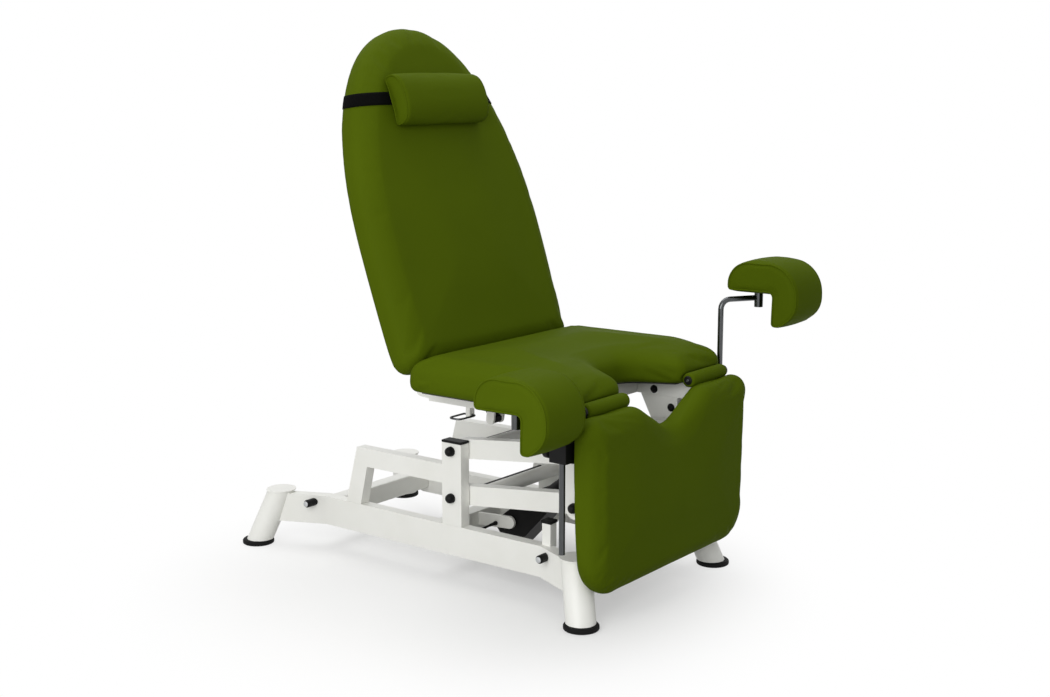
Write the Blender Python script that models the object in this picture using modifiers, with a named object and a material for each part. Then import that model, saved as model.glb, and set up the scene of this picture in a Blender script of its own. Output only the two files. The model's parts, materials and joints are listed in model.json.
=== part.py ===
"""Examination chair with lift, tilting backrest, leg flap and two stirrups. Metres, +Z up, front is -Y.
Right is the patient's right, at -X. The origin lies on the floor at mid length."""

import math

import bmesh
import bpy
from mathutils import Matrix, Vector
from mathutils.bvhtree import BVHTree

for old in list(bpy.data.objects):
    bpy.data.objects.remove(old, do_unlink=True)

GAP = 0.0003            # between pieces that touch
PIN_PLAY = 0.0003       # round a pin, on the radius
FRONT = -0.45525        # Y of the front feet
FOOT_TRACK = 0.574
WHEELBASE = 1.040
REAR = FRONT + WHEELBASE

FOOT_D, FOOT_H = 0.082, 0.012
LEG_D, LEG_TOP = 0.070, 0.146
LEG_LEAN_X, LEG_LEAN_Y = 0.044, 0.047
LID_D, LID_T = 0.076, 0.004
RAIL_OUT, RAIL_W, RAIL_Z, RAIL_H = 0.210, 0.030, 0.063, 0.075
RAIL_BEND = 0.170
POST_Y, POST_W, POST_TOP = FRONT + 0.438, 0.060, 0.342
CAP_T, CAP_LIP = 0.006, 0.001
BRACE_LOW, BRACE_HIGH = 0.240, 0.287
BRACE_BACK, BRACE_RUN = FRONT + 0.750, 0.040
BEAM_IN, BEAM_W, BEAM_Z, BEAM_H = 0.168, 0.040, 0.078, 0.050
BEAM_Y = REAR - BEAM_IN
PEG_D, PEG_OUT, PEG_Z, PEG_IN = 0.020, 0.030, 0.121, 0.145
STOP_W, STOP_TOP, STOP_PAD_T = 0.024, 0.190, 0.008

PIVOT_Z, PIVOT_RISE = 0.207, 0.116
ARM_LEN, ARM_TILT = 0.365, math.radians(6.2)
ARM_H, ARM_W, ARM_SIDE = 0.048, 0.030, 0.003
CROSS_D, CROSS_AT = 0.036, 0.046
SHAFT_D, SHAFT_COLLAR_D, DOME_D, DOME_H = 0.016, 0.024, 0.024, 0.017
UPRIGHT_W, UPRIGHT_TOP_W = 0.056, 0.105

MOTOR_Y, MOTOR_Z = FRONT + 0.390, 0.115
MOTOR_T, MOTOR_BACK, MOTOR_FRONT, MOTOR_UP, MOTOR_DOWN = 0.074, 0.050, 0.125, 0.028, 0.060
MOTOR_PIN_D, MOTOR_LUG_T, MOTOR_LUG_R = 0.012, 0.008, 0.016
TUBE_D, TUBE_BORE, TUBE_END = 0.046, 0.036, 0.290
PLUNGER_D, PLUNGER_IN, EYE_D, EYE_W = 0.020, 0.145, 0.034, 0.034
LEAD_D = 0.006

SEAT_BAR_Z, SEAT_BAR_H = 0.438, 0.040
SEAT_BAR_FRONT, SEAT_BAR_REAR = FRONT + 0.008, FRONT + 0.507
SEAT_CROSS_W = 0.036
SEAT_CROSS_Y = FRONT + 0.18
BOARD_T, BOARD_IN = 0.012, 0.026
SEAT_W, SEAT_FRONT, SEAT_REAR = 0.656, FRONT + 0.005, FRONT + 0.476
SEAT_EDGE, SEAT_CROWN, SEAT_FRONT_R, SEAT_REAR_R = 0.077, 0.015, 0.040, 0.024
NOTCH_W, NOTCH_MOUTH, NOTCH_DEEP, NOTCH_R, LOBE_R = 0.140, 0.262, 0.122, 0.062, 0.034
BACK_Y, BACK_Z, BACK_LEAN = FRONT + 0.533, 0.462, math.radians(19.0)
BACK_PIN_D, BACK_EAR_T, BACK_EAR_R, BACK_EAR_OUT = 0.010, 0.007, 0.017, 0.208
BACK_PLATE_T, BACK_PLATE_LEN, BACK_PLATE_DEEP, BACK_PLATE_N = 0.007, 0.450, 0.026, 0.015
BACK_EDGE, BACK_CROWN = 0.074, 0.010
BACK_W, BACK_FOOT_W, BACK_LOW, BACK_WIDE, BACK_TOP = 0.642, 0.628, 0.042, 0.350, 0.891
BACK_R, BACK_FULL = 0.034, 0.97
SPRING_Y, SPRING_Z = FRONT + 0.470, 0.360
SPRING_UP, SPRING_BACK = 0.250, -0.050
SPRING_D, SPRING_BORE, SPRING_LEN, SPRING_ROD_D, SPRING_ROD_IN = 0.028, 0.018, 0.215, 0.010, 0.100
SPRING_EYE_D, SPRING_EYE_W, SPRING_PIN_D, SPRING_LUG_T = 0.020, 0.028, 0.008, 0.006
PILLOW_X, PILLOW_UP, PILLOW_H, PILLOW_DEEP, PILLOW_L = -0.016, 0.690, 0.115, 0.076, 0.264
STRAP_W, STRAP_T = 0.032, 0.0016
FOOT_R, SHOULDER, SHOULDER_H, RIM_LIFT, LEAST_R = 0.016, 0.044, 0.042, 0.006, 0.003

FLAP_Y, FLAP_Z = FRONT - 0.008, 0.495
ROLL_D, ROLL_IN, ROLL_OUT = 0.036, 0.137, 0.294
ROLL_PIN_D, ROLL_PIN_IN, ROLL_ROOM = 0.010, 0.024, 0.0015
FLAP_BOARD_T, FLAP_BOARD_IN, FLAP_EDGE, FLAP_CROWN = 0.008, 0.045, 0.052, 0.010
FLAP_W, FLAP_LOW_W, FLAP_TOP, FLAP_LOW, FLAP_TOP_R, FLAP_LOW_R = 0.676, 0.648, 0.488, 0.076, 0.030, 0.086
FLAP_NOTCH, FLAP_NOTCH_W, FLAP_NOTCH_R, FLAP_LOBE_R = 0.408, 0.280, 0.080, 0.060
TAB_IN, TAB_OUT, TAB_TOP, TAB_LOW = 0.170, 0.262, 0.487, 0.400

ROD_OUT, ROD_D = 0.006, 0.014
ROD_X, ROD_Y = SEAT_W / 2 + ROD_OUT, FRONT + 0.020
ROD_DROP, ROD_REACH, ROD_REACH_X, ROD_BEND = 0.313, 0.105, 0.0885, 0.024
RIGHT_PAD_Z, LEFT_PAD_Z = 0.519, 0.690
CLAMP_X, CLAMP_Y, CLAMP_H, CLAMP_Z = 0.036, 0.044, 0.044, 0.410
CLAMP_ARM_D, CLAMP_ARM_Z, NECK_W = 0.024, 0.456, 0.014
FLAP_EAR_T, FLAP_EAR_R, FLAP_EAR_ROOM = 0.006, 0.013, 0.030
BUSH_D, BUSH_FLANGE_D, BUSH_FLANGE_T = 0.024, 0.032, 0.003
KNOB_D, KNOB_H, KNOB_SCREW_D = 0.036, 0.022, 0.008
BOSS_D, BOSS_LOW, BOSS_HIGH, PAD_ARM_LOW = 0.022, 0.049, 0.006, 0.026
PAD_PIN_D, PAD_FLANGE_D = 0.010, 0.056
PAD_W, PAD_LIMB, PAD_DROP, PAD_FRONT_T, PAD_INNER, PAD_REAR = 0.128, 0.070, 0.081, 0.065, 0.069, 0.053
PAD_ROUND, PAD_REAR_R, PAD_HEEL_R, PAD_TOE, PAD_TIP = 0.085, 0.047, 0.050, 0.045, 0.029

BAIL_D, BAIL_Y, BAIL_W, BAIL_X, BAIL_REACH, BAIL_Z = 0.005, FRONT + 0.395, 0.034, 0.190, 0.060, 0.416
BAIL_LUG_W, BAIL_LUG_T = 0.018, 0.012

ROUND = 20
SEAT_TOP_Z = SEAT_BAR_Z + SEAT_BAR_H
RAIL_TOP = RAIL_Z + RAIL_H
RAIL_IN = RAIL_OUT - RAIL_W
ARM_OUT = RAIL_IN - ARM_SIDE
ARM_IN = ARM_OUT - ARM_W
PIN_HOLE = SHAFT_D / 2 + PIN_PLAY

PARTS = bpy.data.collections.new("examination_chair")
CUTTERS = bpy.data.collections.new("cutters")
for group in (PARTS, CUTTERS):
    bpy.context.scene.collection.children.link(group)


def material(name, rgb, rough, metal=0.0):
    mat = bpy.data.materials.new(name)
    mat.use_nodes = True
    shader = mat.node_tree.nodes["Principled BSDF"]
    shader.inputs["Base Color"].default_value = (*rgb, 1.0)
    shader.inputs["Roughness"].default_value = rough
    shader.inputs["Metallic"].default_value = metal
    return mat


def solid(name, bm, mat, pivot=None):
    ob = placed(name, bm, PARTS)
    ob.data.materials.append(material("mat_" + name, *mat))
    if pivot is not None:
        ob.parent = pivot
        ob.matrix_parent_inverse = Matrix.Translation(-pivot.location)
    return ob


def placed(name, bm, group):
    bmesh.ops.remove_doubles(bm, verts=bm.verts, dist=1e-6)
    bmesh.ops.recalc_face_normals(bm, faces=bm.faces)
    mesh = bpy.data.meshes.new(name)
    bm.to_mesh(mesh)
    bm.free()
    ob = bpy.data.objects.new(name, mesh)
    group.objects.link(ob)
    return ob


def combine(ob, bm, operation):
    tool = placed(ob.name + "_" + operation.lower(), bm, CUTTERS)
    tool.hide_render = True
    tool.display_type = "WIRE"
    step = ob.modifiers.new(operation.lower(), "BOOLEAN")
    step.operation = operation
    step.solver = "EXACT"
    step.object = tool


def cut(ob, *shapes):
    for bm in shapes:
        combine(ob, bm, "DIFFERENCE")


def weld(ob, *shapes):
    for bm in shapes:
        combine(ob, bm, "UNION")


def soften(ob, width, segments=2):
    step = ob.modifiers.new("edges", "BEVEL")
    step.width = width
    step.segments = segments
    step.limit_method = "ANGLE"
    step.angle_limit = math.radians(40)


def pivot(name, at):
    empty = bpy.data.objects.new(name, None)
    empty.location = at
    empty.empty_display_size = 0.03
    PARTS.objects.link(empty)
    return empty


def box(lo, hi):
    bm = bmesh.new()
    bmesh.ops.create_cube(bm, size=1.0)
    lo, hi = Vector(lo), Vector(hi)
    for v in bm.verts:
        v.co = Vector((lo[i] + (v.co[i] + 0.5) * (hi[i] - lo[i]) for i in range(3)))
    return bm


def bar(a, b, radius, sides=ROUND):
    a, b = Vector(a), Vector(b)
    bm = bmesh.new()
    turn = (b - a).to_track_quat("Z", "Y").to_matrix().to_4x4()
    bmesh.ops.create_cone(bm, cap_ends=True, segments=sides, radius1=radius, radius2=radius,
                          depth=(b - a).length, matrix=Matrix.Translation((a + b) / 2) @ turn)
    return bm


def turned(profile, at, along, sides=ROUND):
    """Radius and height pairs, from the axis and back to it, spun round the line through at."""
    bm = bmesh.new()
    verts = [bm.verts.new((r, 0.0, h)) for r, h in profile]
    edges = [bm.edges.new(pair) for pair in zip(verts, verts[1:])]
    bmesh.ops.spin(bm, geom=verts + edges, cent=(0, 0, 0), axis=(0, 0, 1), angle=math.tau, steps=sides)
    bmesh.ops.remove_doubles(bm, verts=bm.verts, dist=1e-6)
    turn = Vector(along).to_track_quat("Z", "Y").to_matrix().to_4x4()
    bm.transform(Matrix.Translation(at) @ turn)
    return bm


def axes(at, right, up):
    right, up = Vector(right), Vector(up)
    away = right.cross(up)
    return Matrix.Translation(at) @ Matrix((right, up, away)).transposed().to_4x4()


def slab(points, place, lo, hi):
    """A flat outline given depth from lo to hi along the third axis of place."""
    curve = bpy.data.curves.new("outline", "CURVE")
    curve.dimensions = "2D"
    curve.fill_mode = "BOTH"
    curve.extrude = (hi - lo) / 2
    line = curve.splines.new("POLY")
    line.points.add(len(points) - 1)
    for point, at in zip(line.points, points):
        point.co = (at[0], at[1], 0.0, 1.0)
    line.use_cyclic_u = True
    bm = meshed(curve)
    bm.transform(place @ Matrix.Translation((0, 0, (lo + hi) / 2)))
    return bm


def wire(points, radius, cyclic=False, sides=3):
    curve = bpy.data.curves.new("path", "CURVE")
    curve.dimensions = "3D"
    curve.bevel_depth = radius
    curve.bevel_resolution = sides
    curve.use_fill_caps = True
    line = curve.splines.new("POLY")
    line.points.add(len(points) - 1)
    for point, at in zip(line.points, points):
        point.co = (*at, 1.0)
    line.use_cyclic_u = cyclic
    return meshed(curve)


def meshed(curve):
    ob = bpy.data.objects.new("path", curve)
    bpy.context.scene.collection.objects.link(ob)
    graph = bpy.context.evaluated_depsgraph_get()
    mesh = bpy.data.meshes.new_from_object(ob.evaluated_get(graph))
    bm = bmesh.new()
    bm.from_mesh(mesh)
    bmesh.ops.remove_doubles(bm, verts=bm.verts, dist=1e-6)
    bm.transform(ob.matrix_world)
    bpy.data.objects.remove(ob, do_unlink=True)
    bpy.data.curves.remove(curve)
    bpy.data.meshes.remove(mesh)
    return bm


def fillet(points, steps=5, by=0.0):
    """Corners given as x, y, radius become arcs; by moves the whole line inwards."""
    done = []
    for i, (x, y, r) in enumerate(points):
        here = Vector((x, y))
        before = (Vector(points[i - 1][:2]) - here).normalized()
        after = (Vector(points[(i + 1) % len(points)][:2]) - here).normalized()
        half = before.angle(after) / 2
        inward = by if before.cross(after) < 0 else -by
        here += (before + after).normalized() * (inward / math.sin(half))
        r = max(r - inward, LEAST_R)
        centre = here + (before + after).normalized() * (r / math.sin(half))
        start = here + before * (r / math.tan(half)) - centre
        sweep = (here + after * (r / math.tan(half)) - centre).angle_signed(start)
        for k in range(steps + 1):
            spun = Matrix.Rotation(sweep * k / steps, 2) @ start
            done.append(centre + spun)
    return done


def stadium(a, b, radius, steps=8):
    a, b = Vector(a), Vector(b)
    way = math.atan2((b - a).y, (b - a).x)
    points = []
    for end, start in ((b, way - math.pi / 2), (a, way + math.pi / 2)):
        for k in range(steps + 1):
            angle = start + math.pi * k / steps
            points.append((end.x + radius * math.cos(angle), end.y + radius * math.sin(angle)))
    return points


def mirror_corners(half):
    return half + [(-x, y, r) for x, y, r in reversed(half)]


def inset(points, by):
    moved = []
    for i, p in enumerate(points):
        way = (points[(i + 1) % len(points)] - points[i - 1]).normalized()
        moved.append(p + Vector((-way.y, way.x)) * by)
    return moved


def cushion(outline, centre, place, edge, crown):
    """Rounded foot, upright side, broad shoulder and a crown that rises to the middle."""
    rows = [(outline(FOOT_R * d), FOOT_R * h) for d, h in ((1, 0), (0.3, 0.25), (0, 1))]
    drop = min(SHOULDER_H, (edge - FOOT_R) * 0.95)
    for turn in (0, 30, 60, 90):
        a = math.radians(turn)
        rows.append((outline(SHOULDER * (1 - math.cos(a))), edge - drop * (1 - math.sin(a))))
    last = rows[-1][0]
    middle = Vector(centre)
    for scale in (0.78, 0.45):
        rows.append(([middle + (p - middle) * scale for p in last], edge + crown * (1 - scale ** 2)))
    bm = bmesh.new()
    rings = [[bm.verts.new((p.x, p.y, h)) for p in row] for row, h in rows]
    count = len(last)
    for low, high in zip(rings, rings[1:]):
        for i in range(count):
            j = (i + 1) % count
            bm.faces.new((low[i], low[j], high[j], high[i]))
    bm.faces.new(list(reversed(rings[0])))
    bm.faces.new(rings[-1])
    bmesh.ops.triangulate(bm, faces=[f for f in bm.faces if len(f.verts) > 4])
    bm.transform(place)
    return bm


WHITE = ((0.80, 0.80, 0.77), 0.35)
STEEL = ((0.55, 0.56, 0.57), 0.30, 1.0)
GREY = ((0.33, 0.34, 0.35), 0.45, 0.8)
BLACK = ((0.015, 0.015, 0.016), 0.5)
RUBBER = ((0.02, 0.02, 0.02), 0.8)
VINYL = ((0.09, 0.14, 0.003), 0.4)
PLY = ((0.30, 0.20, 0.11), 0.6)

UP_BACK = Vector((0, math.sin(BACK_LEAN), math.cos(BACK_LEAN)))
OUT_BACK = Vector((0, -math.cos(BACK_LEAN), math.sin(BACK_LEAN)))
BACK_AT = Vector((0, BACK_Y, BACK_Z))
FLANK = axes((0, 0, 0), (0, 1, 0), (0, 0, 1))
BACK_FLANK = axes(BACK_AT, UP_BACK, OUT_BACK)
BACK_FACE = axes(BACK_AT, (1, 0, 0), UP_BACK)
ARM_WAY = Vector((0, -math.cos(ARM_TILT), math.sin(ARM_TILT)))
LOW_REAR = Vector((0, POST_Y, PIVOT_Z))
TOP_REAR = LOW_REAR + Vector((0, 0, PIVOT_RISE))
LOW_FRONT = LOW_REAR + ARM_WAY * ARM_LEN
TOP_FRONT = TOP_REAR + ARM_WAY * ARM_LEN
MOTOR_AT = Vector((0, MOTOR_Y, MOTOR_Z))
MOTOR_WAY = (TOP_FRONT - MOTOR_AT).normalized()
MOTOR_LEN = (TOP_FRONT - MOTOR_AT).length
MOTOR_OUT = Vector((0, -MOTOR_WAY.z, MOTOR_WAY.y)) * -1
SPRING_AT = Vector((0, SPRING_Y, SPRING_Z))
SPRING_TOP = BACK_AT + UP_BACK * SPRING_UP + OUT_BACK * SPRING_BACK
SPRING_WAY = (SPRING_TOP - SPRING_AT).normalized()
SPRING_SPAN = (SPRING_TOP - SPRING_AT).length
SIDES = (("right", -1, RIGHT_PAD_Z), ("left", 1, LEFT_PAD_Z))


def across(at, lo, hi, radius, sides=ROUND):
    return bar((lo, at[1], at[2]), (hi, at[1], at[2]), radius, sides)


def flip(side, lo, hi):
    return (lo, hi) if side > 0 else (-hi, -lo)


def leg_solid(side, end, grow=0.0, over=0.0):
    """A leaning round leg with level ends; end is -1 at the front and 1 at the rear."""
    foot = Vector((side * FOOT_TRACK / 2, FRONT if end < 0 else REAR, 0))
    r, lid = LEG_D / 2 + grow, LID_D / 2
    low, high = FOOT_H + GAP - over, LEG_TOP + over
    profile = [(0, low), (r, low), (r, high - LID_T), (lid, high - LID_T), (lid, high), (0, high)]
    bm = turned(profile, (0, 0, 0), (0, 0, 1), 24)
    for v in bm.verts:
        part = v.co.z / LEG_TOP
        v.co += foot + Vector((-side * LEG_LEAN_X * part, -end * LEG_LEAN_Y * part, 0))
    return bm


def leg_at(side, end, height):
    part = height / LEG_TOP
    return (side * (FOOT_TRACK / 2 - LEG_LEAN_X * part),
            (FRONT if end < 0 else REAR) - end * LEG_LEAN_Y * part)


def rail_line(side):
    middle = side * (RAIL_OUT - RAIL_W / 2)
    height = RAIL_Z + RAIL_H / 2
    return [leg_at(side, -1, height), (middle, FRONT + RAIL_BEND), (middle, REAR - RAIL_BEND),
            leg_at(side, 1, height)]


def ribbon(line, half):
    """A path in plan given width, with mitred bends."""
    left, right = [], []
    for i, p in enumerate(line):
        here = Vector(p)
        ways = [(Vector(line[k + 1]) - Vector(line[k])).normalized()
                for k in (i - 1, i) if 0 <= k < len(line) - 1]
        norms = [Vector((-w.y, w.x)) for w in ways]
        lean = sum(norms, Vector((0, 0))).normalized()
        reach = half / lean.dot(norms[0])
        left.append(tuple(here + lean * reach))
        right.append(tuple(here - lean * reach))
    return left + right[::-1]


FLARE = math.atan2(leg_at(1, -1, RAIL_Z + RAIL_H / 2)[0] - (RAIL_OUT - RAIL_W / 2),
                   FRONT + RAIL_BEND - leg_at(1, -1, RAIL_Z + RAIL_H / 2)[1])

for word, side, pad_z in SIDES:
    lo, hi = flip(side, RAIL_IN, RAIL_OUT)
    plan = ribbon(rail_line(side), RAIL_W / 2)
    frame = solid(word + "_rail", slab(plan, Matrix(), RAIL_Z, RAIL_TOP), WHITE)
    weld(frame, leg_solid(side, -1), leg_solid(side, 1))
    stop_y = FRONT + RAIL_BEND - STOP_W / 2 + 0.005
    stop_lo, stop_hi = flip(side, RAIL_IN - 0.006, RAIL_IN - 0.006 + STOP_W)
    weld(frame, box((stop_lo, stop_y - STOP_W / 2, RAIL_TOP - 0.005),
                    (stop_hi, stop_y + STOP_W / 2, STOP_TOP)))
    pad = solid(word + "_stop_pad", box((stop_lo - 0.003, stop_y - STOP_W / 2 - 0.003, STOP_TOP + GAP),
                                        (stop_hi + 0.003, stop_y + STOP_W / 2 + 0.003,
                                         STOP_TOP + GAP + STOP_PAD_T)), RUBBER)
    soften(pad, 0.003)

    low = RAIL_TOP + GAP
    edge = POST_Y + POST_W / 2
    post = solid(word + "_post", box((lo, edge - POST_W, low), (hi, edge, POST_TOP)), WHITE)
    fall = (BRACE_HIGH - low) / (BRACE_HIGH - RAIL_TOP) * BRACE_RUN
    width = POST_W * 0.75
    brace = [(edge - 0.01, BRACE_LOW), (BRACE_BACK - width * 0.75, BRACE_LOW),
             (BRACE_BACK + fall - width * 1.1, low), (BRACE_BACK + fall, low),
             (BRACE_BACK, BRACE_HIGH), (edge - 0.01, BRACE_HIGH)]
    weld(post, slab(brace, FLANK, lo, hi))
    for at in (LOW_REAR, TOP_REAR):
        cut(post, across(at, lo - 0.02, hi + 0.02, PIN_HOLE))
    soften(solid(word + "_post_cap", box((lo - CAP_LIP, POST_Y - POST_W / 2 - CAP_LIP, POST_TOP + GAP),
                                         (hi + CAP_LIP, POST_Y + POST_W / 2 + CAP_LIP,
                                          POST_TOP + GAP + CAP_T)), BLACK), 0.002)
    for end, name in ((-1, "front"), (1, "rear")):
        foot = (side * FOOT_TRACK / 2, FRONT if end < 0 else REAR, 0)
        r = FOOT_D / 2
        solid(f"{name}_{word}_foot", turned([(0, 0), (r - 0.002, 0), (r, 0.002), (r, FOOT_H - 0.003),
                                            (r - 0.003, FOOT_H), (0, FOOT_H)], foot, (0, 0, 1), 24), RUBBER)
        peg_y = (FRONT + PEG_IN) if end < 0 else (REAR - PEG_IN)
        out = (RAIL_OUT - RAIL_W / 2 + (RAIL_W / 2 + GAP) / math.cos(FLARE)
               + (RAIL_BEND - PEG_IN) * math.tan(FLARE))
        peg = turned([(0, 0), (PEG_D / 2, 0), (PEG_D / 2, PEG_OUT - 0.003), (PEG_D / 2 - 0.003, PEG_OUT),
                      (0, PEG_OUT)], (side * out, peg_y, PEG_Z), (side, 0, 0), 16)
        for v in peg.verts:
            if abs(v.co.x) < out + 0.001:
                v.co.x += side * end * math.tan(FLARE) * (v.co.y - peg_y)
        solid(f"{name}_{word}_peg", peg, BLACK)

soften(solid("rear_crossbeam", box((-RAIL_IN + GAP, BEAM_Y - BEAM_W / 2, BEAM_Z),
                                   (RAIL_IN - GAP, BEAM_Y + BEAM_W / 2, BEAM_Z + BEAM_H)), WHITE), 0.002)
LUG_IN = MOTOR_T / 2 + 0.003
LUG_OUT = LUG_IN + MOTOR_LUG_T
MOTOR_BEAM_Y = MOTOR_Y + 0.117
beam = solid("motor_crossbeam", box((-RAIL_IN + GAP, MOTOR_BEAM_Y - BEAM_W / 2, BEAM_Z),
                                    (RAIL_IN - GAP, MOTOR_BEAM_Y + BEAM_W / 2, BEAM_Z + BEAM_H)), WHITE)
for side in (-1, 1):
    lo, hi = flip(side, LUG_IN, LUG_OUT)
    weld(beam, slab(stadium((MOTOR_Y, MOTOR_Z), (MOTOR_BEAM_Y, MOTOR_Z - 0.008), MOTOR_LUG_R), FLANK, lo, hi))
weld(beam, across(MOTOR_AT, -LUG_OUT + 0.001, LUG_OUT - 0.001, MOTOR_PIN_D / 2))
LEAD_X, LEAD_END = LUG_OUT + GAP, RAIL_IN - GAP
lead_start = Vector((-LEAD_X, MOTOR_Y + 0.040, MOTOR_Z - 0.008))
lead_end = Vector((-LEAD_END, MOTOR_Y + 0.060, RAIL_Z + 0.028))
lead_pull = Vector((0.060, 0, 0))
lead_line = []
for k in range(13):
    t = k / 12
    p0, p1, p2, p3 = lead_start, lead_start - lead_pull, lead_end + lead_pull, lead_end
    lead_line.append((1 - t) ** 3 * p0 + 3 * t * (1 - t) ** 2 * p1 + 3 * t * t * (1 - t) * p2 + t ** 3 * p3)
solid("motor_lead", wire(lead_line, LEAD_D / 2, sides=2), RUBBER)


def shaft(name, at, mat, pin, inner_collar):
    """A through shaft with domed ends, collars beside the arms and, if asked, beside a middle eye."""
    r, c, d = SHAFT_D / 2, SHAFT_COLLAR_D / 2, DOME_D / 2
    face = RAIL_OUT + GAP
    half = [(c, ARM_OUT + GAP), (c, RAIL_IN - GAP), (r, RAIL_IN - GAP), (r, face), (d, face),
            (d, face + DOME_H * 0.35), (d * 0.87, face + DOME_H * 0.72), (d * 0.5, face + DOME_H * 0.95),
            (0, face + DOME_H)]
    half = [(r, ARM_OUT + GAP)] + half
    if inner_collar:
        e = EYE_W / 2 + GAP
        half = [(r, e), (c, e), (c, e + 0.004), (r, e + 0.004)] + half
    profile = [(a, -b) for a, b in reversed(half)] + half
    return solid(name, turned(profile, at, (1, 0, 0), 16), mat, pin)


def arms(name, rear, front, pin):
    lo, hi = ARM_IN, ARM_OUT
    line = stadium((rear.y, rear.z), (front.y, front.z), ARM_H / 2)
    ob = solid(name, slab(line, FLANK, lo, hi), WHITE, pin)
    weld(ob, slab(line, FLANK, -hi, -lo))
    at = rear + (front - rear).normalized() * CROSS_AT
    weld(ob, across(at, -lo - 0.002, lo + 0.002, CROSS_D / 2))
    for at in (rear, front):
        cut(ob, across(at, -hi - 0.01, hi + 0.01, PIN_HOLE))


LOWER = pivot("lower_arm_axis", LOW_REAR)
UPPER = pivot("upper_arm_axis", TOP_REAR)
CARRIAGE = pivot("carriage_axis", LOW_FRONT)
shaft("lower_rear_shaft", LOW_REAR, BLACK, None, False)
shaft("upper_rear_shaft", TOP_REAR, BLACK, None, False)
arms("lower_arms", LOW_REAR, LOW_FRONT, LOWER)
arms("upper_arms", TOP_REAR, TOP_FRONT, UPPER)
shaft("lower_front_shaft", LOW_FRONT, BLACK, CARRIAGE, False)
shaft("upper_front_shaft", TOP_FRONT, BLACK, CARRIAGE, True)

MOTOR = pivot("actuator_axis", MOTOR_AT)
ROD = pivot("plunger_axis", TOP_FRONT)
MOTOR_PLACE = axes(MOTOR_AT, MOTOR_WAY, MOTOR_OUT)
r = 0.014
case = fillet([(-MOTOR_BACK, -MOTOR_DOWN, r), (MOTOR_FRONT, -MOTOR_DOWN * 0.55, r),
               (MOTOR_FRONT, MOTOR_UP, r), (-MOTOR_BACK, MOTOR_UP, r)])
housing = solid("actuator_housing", slab(case, MOTOR_PLACE, -MOTOR_T / 2, MOTOR_T / 2), BLACK, MOTOR)
reach = MOTOR_AT + MOTOR_WAY * TUBE_END
weld(housing, bar(MOTOR_AT + MOTOR_WAY * (MOTOR_FRONT - 0.01), reach, TUBE_D / 2))
cut(housing, bar(MOTOR_AT + MOTOR_WAY * (MOTOR_FRONT - 0.004), reach + MOTOR_WAY * 0.01, TUBE_BORE / 2),
    across(MOTOR_AT, -MOTOR_T, MOTOR_T, MOTOR_PIN_D / 2 + PIN_PLAY))
stem = bar(MOTOR_AT + MOTOR_WAY * PLUNGER_IN, TOP_FRONT - MOTOR_WAY * EYE_D * 0.3, PLUNGER_D / 2)
plunger = solid("actuator_plunger", stem, STEEL, ROD)
weld(plunger, across(TOP_FRONT, -EYE_W / 2, EYE_W / 2, EYE_D / 2))
cut(plunger, across(TOP_FRONT, -EYE_W, EYE_W, PIN_HOLE))

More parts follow.
